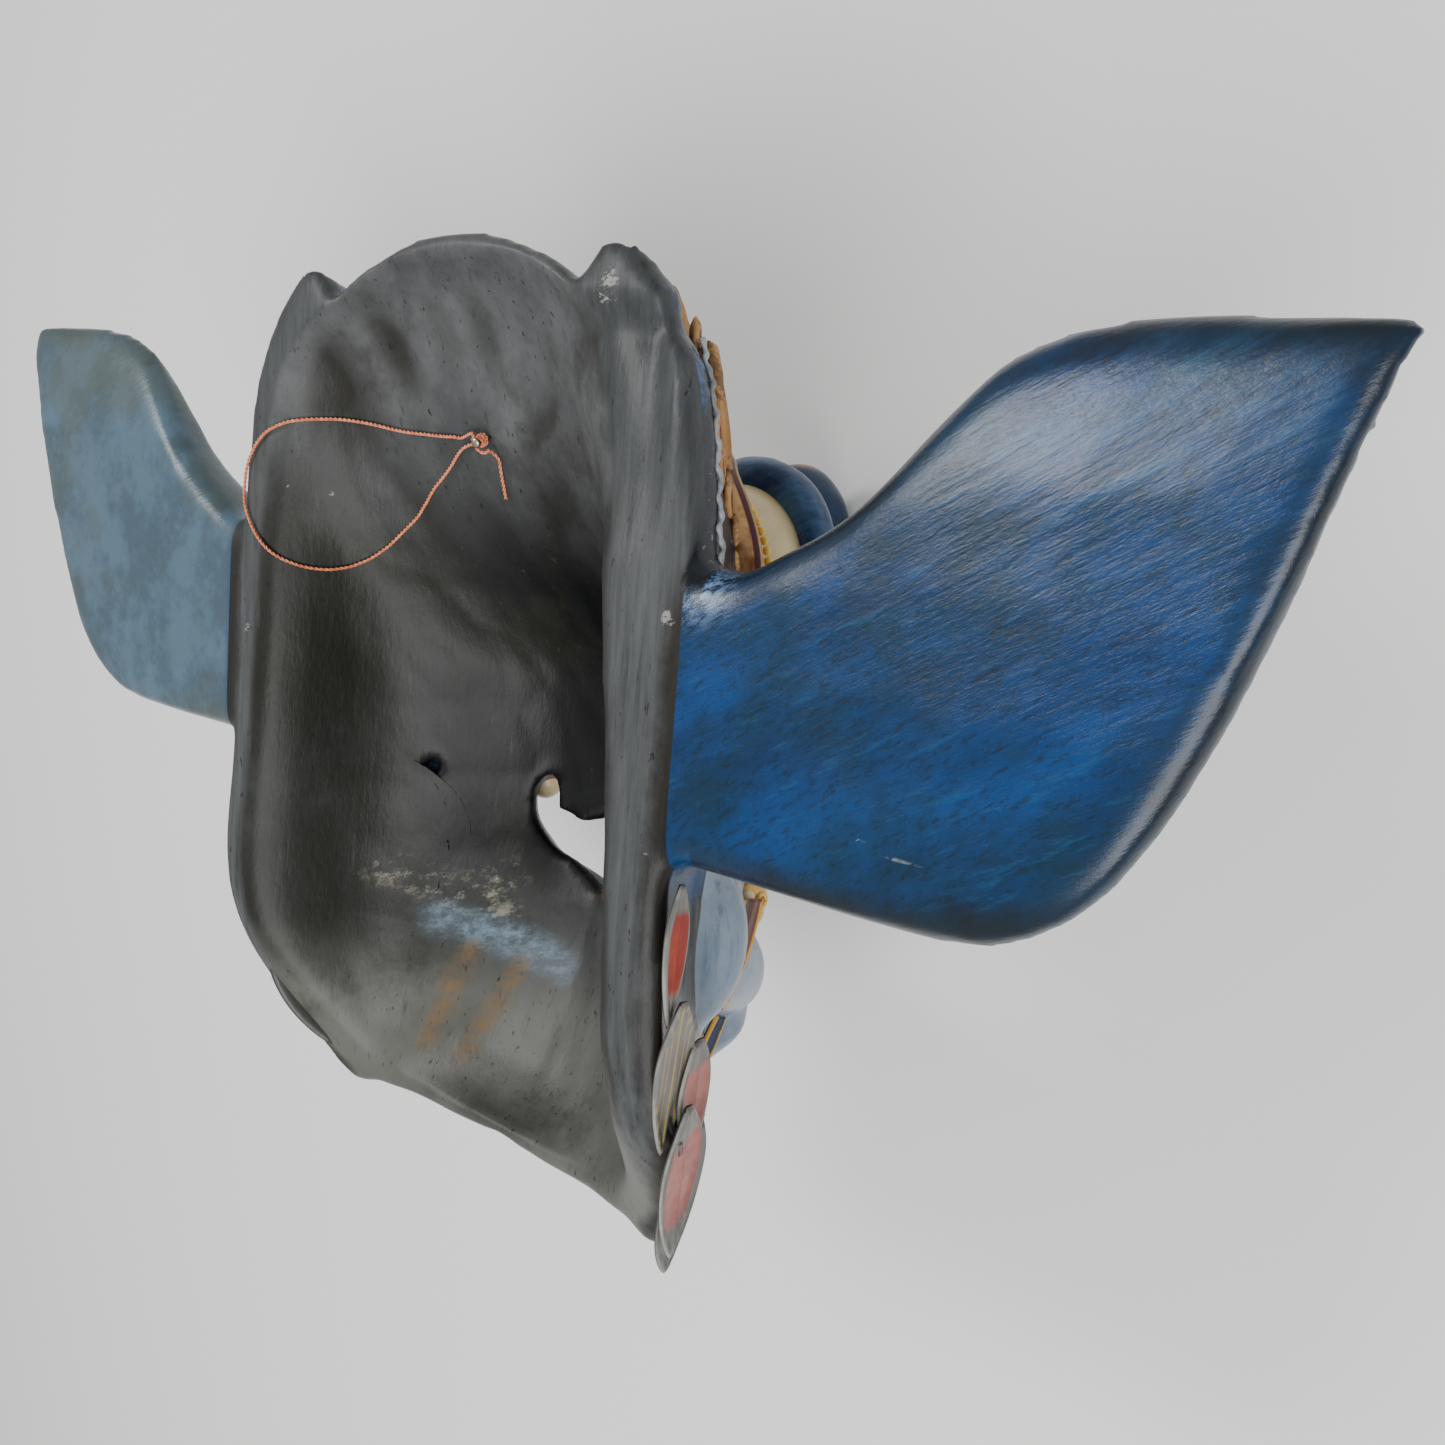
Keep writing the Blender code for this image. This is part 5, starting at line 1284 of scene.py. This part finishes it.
points = []
hole_at = []
across_at = []
bead_line = []
for i, c in enumerate(spots):
    n, up = band_axes(i)
    bead_line.append(c + up * (HALF_BAND * 0.93) + n * 0.016)
    for k in range(WIDE_STEPS + 1):
        v = -1 + 2 * k / WIDE_STEPS
        rise = 0.014 * (1 - abs(v) ** 6 * 0.5) + 0.0022 * math.exp(-((v + 0.78) / 0.10) ** 2)
        rise -= 0.0018 * math.exp(-((v + 0.60) / 0.05) ** 2)
        row_v = v * HALF_BAND * MASK_M / HOLE_ROW_M
        row_u = even[i] * MASK_M / HOLE_PITCH_M + 0.5 * (round(row_v) % 2)
        near_u = row_u - round(row_u)
        near_v = row_v - round(row_v)
        hole = max(0.0, 1 - math.hypot(near_u, near_v) / 0.30) if abs(v + 0.05) < 0.68 else 0.0
        rise -= 0.0040 * min(hole * 2.0, 1.0)
        points.append(tuple(c + up * (v * HALF_BAND) + n * rise))
        hole_at.append(hole)
        across_at.append(v)
count = len(points)
for i, c in enumerate(spots):
    n, up = band_axes(i)
    for k in (0, WIDE_STEPS):
        v = -1 + 2 * k / WIDE_STEPS
        points.append(tuple(c + up * (v * HALF_BAND) - n * 0.010))
        hole_at.append(0.0)
        across_at.append(v)
faces = []
row = WIDE_STEPS + 1
for i in range(len(spots) - 1):
    for k in range(WIDE_STEPS):
        q = i * row + k
        faces.append((q, q + 1, q + row + 1, q + row))
    a, b = count + 2 * i, count + 2 * (i + 1)
    faces.append((i * row, (i + 1) * row, b, a))
    faces.append((i * row + WIDE_STEPS, a + 1, b + 1, (i + 1) * row + WIDE_STEPS))
    faces.append((a, b, b + 1, a + 1))
for i in (0, len(spots) - 1):
    faces.append(tuple(i * row + k for k in range(row)) + (count + 2 * i + 1, count + 2 * i))
band = raw_mesh("diadem_band", points, faces)
add_field(band.data, "hole", hole_at)
add_field(band.data, "across", across_at)
# Finish: tan and gold brush paint, dark in the punched holes
m, tone = gold_finish("punched_tan_and_gold_paint", "#b98a4e", "#d8b27a")
v = m.add("field", attribute_name="across")
tan = m.add("mix", m.add("ramp", m.add("noise", m.place, Scale=60, Detail=6, Roughness=0.75), 0.35, 0.68),
            "#c9a06a", "#8f6a40")
gold_line = m.add("mix",
                  m.add("ramp", m.add("noise", m.place, Scale=90, Detail=5, Roughness=0.6), 0.4, 0.6),
                  "#8a5428", "#cfa470")
look = m.add("mix", m.add("ramp", v, -0.95, -0.92), gold_line, "#4a1f24")
look = m.add("mix", m.add("ramp", v, -0.84, -0.8), look, tan)
look = m.add("mix", m.add("ramp", v, 0.66, 0.7), look, "#b98a22")
look = m.add("mix", m.add("ramp", m.add("field", attribute_name="hole"), 0.05, 0.22), look, "#1c120c")
m.wear("Base Color", look)
m.wear("Normal",
       m.add("bump", Strength=0.35, Distance=0.0008,
             Height=m.add("noise", m.place, Scale=160, Detail=5, Roughness=0.7)))
show(band, m.finish)


def strung(name, line, size, spacing, finish):
    """Round beads strung evenly along a line, grown by a node tree."""
    guide = bpy.data.curves.new(name, "CURVE")
    guide.dimensions = "3D"
    track = guide.splines.new("POLY")
    track.points.add(len(line) - 1)
    for spot, q in zip(track.points, line):
        spot.co = (*world(*q), 1.0)
    piece = placed(name, guide)
    tree = bpy.data.node_groups.new(name, "GeometryNodeTree")
    tree.interface.new_socket("Line", in_out="INPUT", socket_type="NodeSocketGeometry")
    for label, value in (("Bead radius", size), ("Spacing", spacing)):
        socket = tree.interface.new_socket(label, in_out="INPUT", socket_type="NodeSocketFloat")
        socket.default_value = value
    tree.interface.new_socket("Beads", in_out="OUTPUT", socket_type="NodeSocketGeometry")
    start = tree.nodes.new("NodeGroupInput")
    end = tree.nodes.new("NodeGroupOutput")
    spaced = tree.nodes.new("GeometryNodeCurveToPoints")
    spaced.mode = "LENGTH"
    bead = tree.nodes.new("GeometryNodeMeshUVSphere")
    bead.inputs["Segments"].default_value = 12
    bead.inputs["Rings"].default_value = 8
    copies = tree.nodes.new("GeometryNodeInstanceOnPoints")
    real = tree.nodes.new("GeometryNodeRealizeInstances")
    coat = tree.nodes.new("GeometryNodeSetMaterial")
    coat.inputs["Material"].default_value = finish
    tree.links.new(start.outputs["Line"], spaced.inputs["Curve"])
    tree.links.new(start.outputs["Spacing"], spaced.inputs["Length"])
    tree.links.new(start.outputs["Bead radius"], bead.inputs["Radius"])
    tree.links.new(spaced.outputs["Points"], copies.inputs["Points"])
    tree.links.new(bead.outputs["Mesh"], copies.inputs["Instance"])
    tree.links.new(copies.outputs["Instances"], real.inputs["Geometry"])
    tree.links.new(real.outputs["Geometry"], coat.inputs["Geometry"])
    tree.links.new(coat.outputs["Geometry"], end.inputs["Beads"])
    grow = piece.modifiers.new("beads", "NODES")
    grow.node_group = tree
    mesh = bpy.data.meshes.new_from_object(piece.evaluated_get(bpy.context.evaluated_depsgraph_get()))
    bpy.data.objects.remove(piece)
    return placed(name, mesh)


# Finish: yellow enamel dots with soft highlights
m = Paint("yellow_bead_paint", 0.35)
m.wear("Base Color",
       m.add("mix", m.add("ramp", m.add("noise", m.place, Scale=50, Detail=5, Roughness=0.6), 0.35, 0.65),
             "#c8961f", "#e6c24c"))
show(strung("diadem_beads", bead_line, 0.0013, 0.0029, m.finish), m.finish)

rosette = []
centre = on_face(0, 0.090, 0.004)
facing = outward(0, 0.090)
for ring_r, petal, count, lift in ((0.026, 0.0115, 10, 0.010), (0.014, 0.0085, 7, 0.018)):
    for k in range(count):
        a = 2 * math.pi * k / count
        c = centre + facing * lift + Vector((math.cos(a) * ring_r, 0, math.sin(a) * ring_r))
        rosette.append(ball("petal", tuple(c), (petal, 0.008, petal), around=16, rows=10))
rosette.append(ball("rosette", tuple(centre), (0.031, 0.020, 0.031), around=32, rows=16))
rosette.append(ball("boss", tuple(centre + facing * 0.024), (0.009, 0.007, 0.009), around=20, rows=12))
show(gathered("rosette", rosette), gold)

# The ruffled edge
# A thin wavy bead of wood where the crown's flat side meets its leaves, carved with a small
# gouge from the same block and dabbed pale grey
ruffle = []
for side in (1, -1):
    stops = []
    for k in range(120):
        t = k / 119
        z_r = 0.140 - 0.148 * t
        x_r = float(table([(row[1], row[0]) for row in OUTER_EDGE[14:7:-1]], z_r))
        wave = math.sin(t * 46.0) + 0.4 * math.sin(t * 103.0 + 1.0)
        stops.append((side * (x_r - 0.0025), 0.030 + 0.0014 * wave, z_r))
    ruffle.append(tube("ruffle", stops, [0.0017 + 0.0004 * math.sin(k * 0.9) for k in range(120)], 8))
# Finish: thin pale grey paint, uneven along the bead
m = Paint("pale_grey_edge_paint", 0.4)
m.wear("Base Color",
       m.add("mix", m.add("ramp", m.add("noise", m.place, Scale=90, Detail=5, Roughness=0.6), 0.35, 0.65),
             "#6d7175", "#a2a5a8"))
show(gathered("ruffled_edge", ruffle), m.finish)

# The hanging nail
# A bright round wire nail with a domed head, driven into the wood of the crown's hollow. It
# stands 6 mm out and holds the turns of the string.
NAIL_AT = (-0.0240, 0.0770)
NAIL_D = 0.0016
CORD_D = 0.0012
FIT_GAP = 0.0003
step = 0.004
nx, nz = NAIL_AT
slope_x = float(hollow_at(nx + step, nz) - hollow_at(nx - step, nz)) / (2 * step)
slope_z = float(hollow_at(nx, nz + step) - hollow_at(nx, nz - step)) / (2 * step)
nail_out = Vector((slope_x, -1.0, slope_z)).normalized()
nail_base = Vector((nx, float(hollow_at(nx, nz)), nz))
nail_wide = nail_out.cross(Vector((0.0, 0.0, 1.0))).normalized()
nail_tall = nail_out.cross(nail_wide)
rings = []
for depth, radius in ((-0.0060, 0.0008), (0.0049, 0.0008), (0.00500, 0.00160), (0.00515, 0.0017),
                      (0.00545, 0.0017), (0.00575, 0.00145), (0.00592, 0.0009), (0.0060, 0.0003)):
    c = nail_base + nail_out * (depth / MASK_M)
    r = radius / MASK_M
    rings.append([tuple(c + nail_wide * (r * math.cos(a)) + nail_tall * (r * math.sin(a)))
                  for a in (2 * math.pi * k / 28 for k in range(28))])
# Finish: drawn steel wire, bright with brown tarnish
m = Paint("bright_wire_steel", 0.32, 1.0)
m.wear("Base Color",
       m.add("mix", m.add("ramp", m.add("noise", m.place, Scale=400, Detail=4, Roughness=0.6), 0.4, 0.65),
             "#cfc9b6", "#9b927c"))
show(loft("nail", rings), m.finish, "hanging_nail")

# The string
# A twisted two-strand nylon string: a free tail, turns round the nail, and one loop that lies in
# the hollow and over the left rim
# Across and up, where the string lies on the wood
TAIL = [(-0.0264, 0.0339), (-0.0231, 0.0429), (-0.0194, 0.0539), (-0.0172, 0.0630)]
LOOP = [(-0.052, 0.077), (-0.108, 0.079), (-0.160, 0.085), (-0.203, 0.078), (-0.238, 0.053),
        (-0.249, 0.018), (-0.227, -0.014), (-0.195, -0.037), (-0.168, -0.026), (-0.128, 0.008),
        (-0.087, 0.045), (-0.056, 0.0675), (-0.045, 0.0722), (-0.0370, 0.0737)]
skin_tree = BVHTree.FromObject(mask, bpy.context.evaluated_depsgraph_get())


def rest_on_wood(x, z, lift):
    """Where the string's middle lies over a place of the finished skin."""
    spot, normal, _, _ = skin_tree.ray_cast(Vector(world(x, -0.2, z)), Vector((0.0, 0.0, -1.0)))
    if normal.z < 0:
        normal = -normal
    spot = spot + normal * lift
    return Vector((spot.x / MASK_M, FACE_DEPTH - spot.z / MASK_M, spot.y / MASK_M + MIDDLE_Z))


def along_route(stops, step):
    """Even steps along a smooth line drawn on the wood."""
    line = [Vector((q[0], q[1])) for q in smooth_path(stops, 8)]
    reach = np.concatenate([[0.0], np.cumsum([(b - a).length for a, b in zip(line, line[1:])])])
    count = max(2, int(round(reach[-1] / step)) + 1)
    even = np.linspace(0, reach[-1], count)
    return [(float(np.interp(at, reach, [q.x for q in line])),
             float(np.interp(at, reach, [q.y for q in line]))) for at in even]


ROUTE_STEP = 0.0036 / MASK_M
lift = CORD_D / 2 + FIT_GAP + 0.0002
knot_out = NAIL_D / 2 + FIT_GAP + 1.5 * CORD_D
route = [rest_on_wood(x, z, lift) for x, z in along_route(TAIL, ROUTE_STEP)]
beside = (knot_out + CORD_D / 2 + FIT_GAP + 0.0002) / MASK_M
middle = nail_base + nail_out * (0.0027 / MASK_M)
towards_tail = Vector((0.55, 0.0, -0.83))
tail_side = (towards_tail - nail_out * towards_tail.dot(nail_out)).normalized()
for degrees in (0, -40, -80, -120, -160):
    turn = math.radians(degrees)
    arm = tail_side * math.cos(turn) + nail_out.cross(tail_side) * math.sin(turn)
    route.append(middle + arm * beside * 1.04)
route += [rest_on_wood(x, z, lift) for x, z in along_route(LOOP, ROUTE_STEP)]
route = [Vector(world(*q)) for q in reversed(route)]
fine = [Vector(q) for q in smooth_path([tuple(q) for q in route], 10)]


# Two strands of 0.68 mm, a full turn every 3.3 mm
TURNS_PER_M = 300.0
STRAND_OFF = 0.00027
STRAND_R = 0.00034


def reach_along(line):
    return np.concatenate([[0.0], np.cumsum([(b - a).length for a, b in zip(line, line[1:])])])


def strands(name, line, phase=0.0, sides=8):
    """Two strands twisted round a line given in metres."""
    reach = reach_along(line)
    points = []
    faces = []
    up = Vector((0.0, 0.0, 1.0))
    for strand in (0, 1):
        start = len(points)
        for i, c in enumerate(line):
            ahead = (line[min(i + 1, len(line) - 1)] - line[max(i - 1, 0)]).normalized()
            wide = (up - ahead * up.dot(ahead)).normalized()
            tall = ahead.cross(wide)
            turn = phase + math.pi * strand + 2 * math.pi * TURNS_PER_M * reach[i]
            c = c + (wide * math.cos(turn) + tall * math.sin(turn)) * STRAND_OFF
            for k in range(sides):
                a = 2 * math.pi * k / sides
                points.append(tuple(c + wide * (STRAND_R * math.cos(a)) + tall * (STRAND_R * math.sin(a))))
        for i in range(len(line) - 1):
            for k in range(sides):
                q, w = start + i * sides + k, start + i * sides + (k + 1) % sides
                faces.append((q, w, w + sides, q + sides))
        faces.append(tuple(start + k for k in reversed(range(sides))))
        last = start + (len(line) - 1) * sides
        faces.append(tuple(last + k for k in range(sides)))
    mesh = bpy.data.meshes.new(name)
    mesh.from_pydata(points, [], faces)
    built = bmesh.new()
    built.from_mesh(mesh)
    bmesh.ops.recalc_face_normals(built, faces=built.faces)
    built.to_mesh(mesh)
    built.free()
    return placed(name, mesh)


string = strands("string", fine)
# Finish: dyed nylon, softly shining on each strand and bleached at the tail
m = Paint("orange_twisted_nylon", 0.5)
hue = m.add("mix", m.add("ramp", m.add("noise", m.place, Scale=700, Detail=4, Roughness=0.6), 0.35, 0.7),
            "#d2693f", "#e89a6e")
tail_spot = m.near((-0.0264, 0.0700, 0.0339), (0.0012, 0.0030))
m.wear("Base Color", m.add("mix", tail_spot, hue, "#ecd9bf"))
m.wear("Sheen Weight", 0.2)
string_finish = m.finish

knot = []
for k, (rise, radius) in enumerate(((0.0020, 0.00172), (0.0031, 0.00166), (0.0040, 0.0014))):
    loop_line = []
    for i in range(49):
        a = 2 * math.pi * i / 48 + k * 1.9
        c = nail_base + nail_out * ((rise + 0.00035 * math.sin(a + k)) / MASK_M)
        c += (nail_wide * math.cos(a) + nail_tall * math.sin(a)) * (radius / MASK_M)
        loop_line.append(Vector(world(*c)))
    knot.append(strands("turn", loop_line, phase=k))
knot = gathered("string_knot", knot)
show(string, string_finish, "hanging_cord")
show(knot, string_finish, "cord_knot")

# The floor, the lights and the camera
# A sheet of white paper under a large soft light, with a small window light from the left. The
# camera looks down at the mask from the right.
floor_mesh = bpy.data.meshes.new("floor")
floor_mesh.from_pydata([(-4, -4, 0), (4, -4, 0), (4, 4, 0), (-4, 4, 0)], [], [(0, 1, 2, 3)])
floor = placed("floor", floor_mesh)
# Finish: matt white paper
m = Paint("white_studio_paper", 0.9)
m.wear("Base Color", "#f4f4f3")
floor_mesh.materials.append(m.finish)

CAMERA_AT = (0.34703, 0.07643, 0.46604)
RIGHT = (0.74622, 0.08127, -0.66072)
UP = (-0.15696, 0.98602, -0.05599)
BACK = (0.64693, 0.14549, 0.74854)
lens = bpy.data.cameras.new("camera")
lens.lens = 36.0 * 1391 / 1445
lens.sensor_width = 36.0
camera = placed("camera", lens)
turn = Matrix((RIGHT, UP, BACK)).transposed().to_4x4()
turn.translation = CAMERA_AT
camera.matrix_world = turn
bpy.context.scene.camera = camera
# Name, watts, side in metres and place of each soft light
LIGHTS = [("overhead", 50, 1.5, (1.0, -0.9, 1.8)), ("window", 10, 0.45, (-0.80, 0.46, 1.36))]
LIT_SPOT = Vector((0.05, 0.0, 0.1))
for name, watts, side_m, spot in LIGHTS:
    light = bpy.data.lights.new(name, "AREA")
    light.energy = watts
    light.size = side_m
    lamp = placed(name, light)
    lamp.location = spot
    lamp.rotation_euler = (LIT_SPOT - lamp.location).to_track_quat("-Z", "Y").to_euler()
world_light = bpy.data.worlds.new("studio")
bpy.context.scene.world = world_light
world_light.use_nodes = True
world_light.node_tree.nodes["Background"].inputs[0].default_value = (1, 1, 1, 1)
world_light.node_tree.nodes["Background"].inputs[1].default_value = 0.42
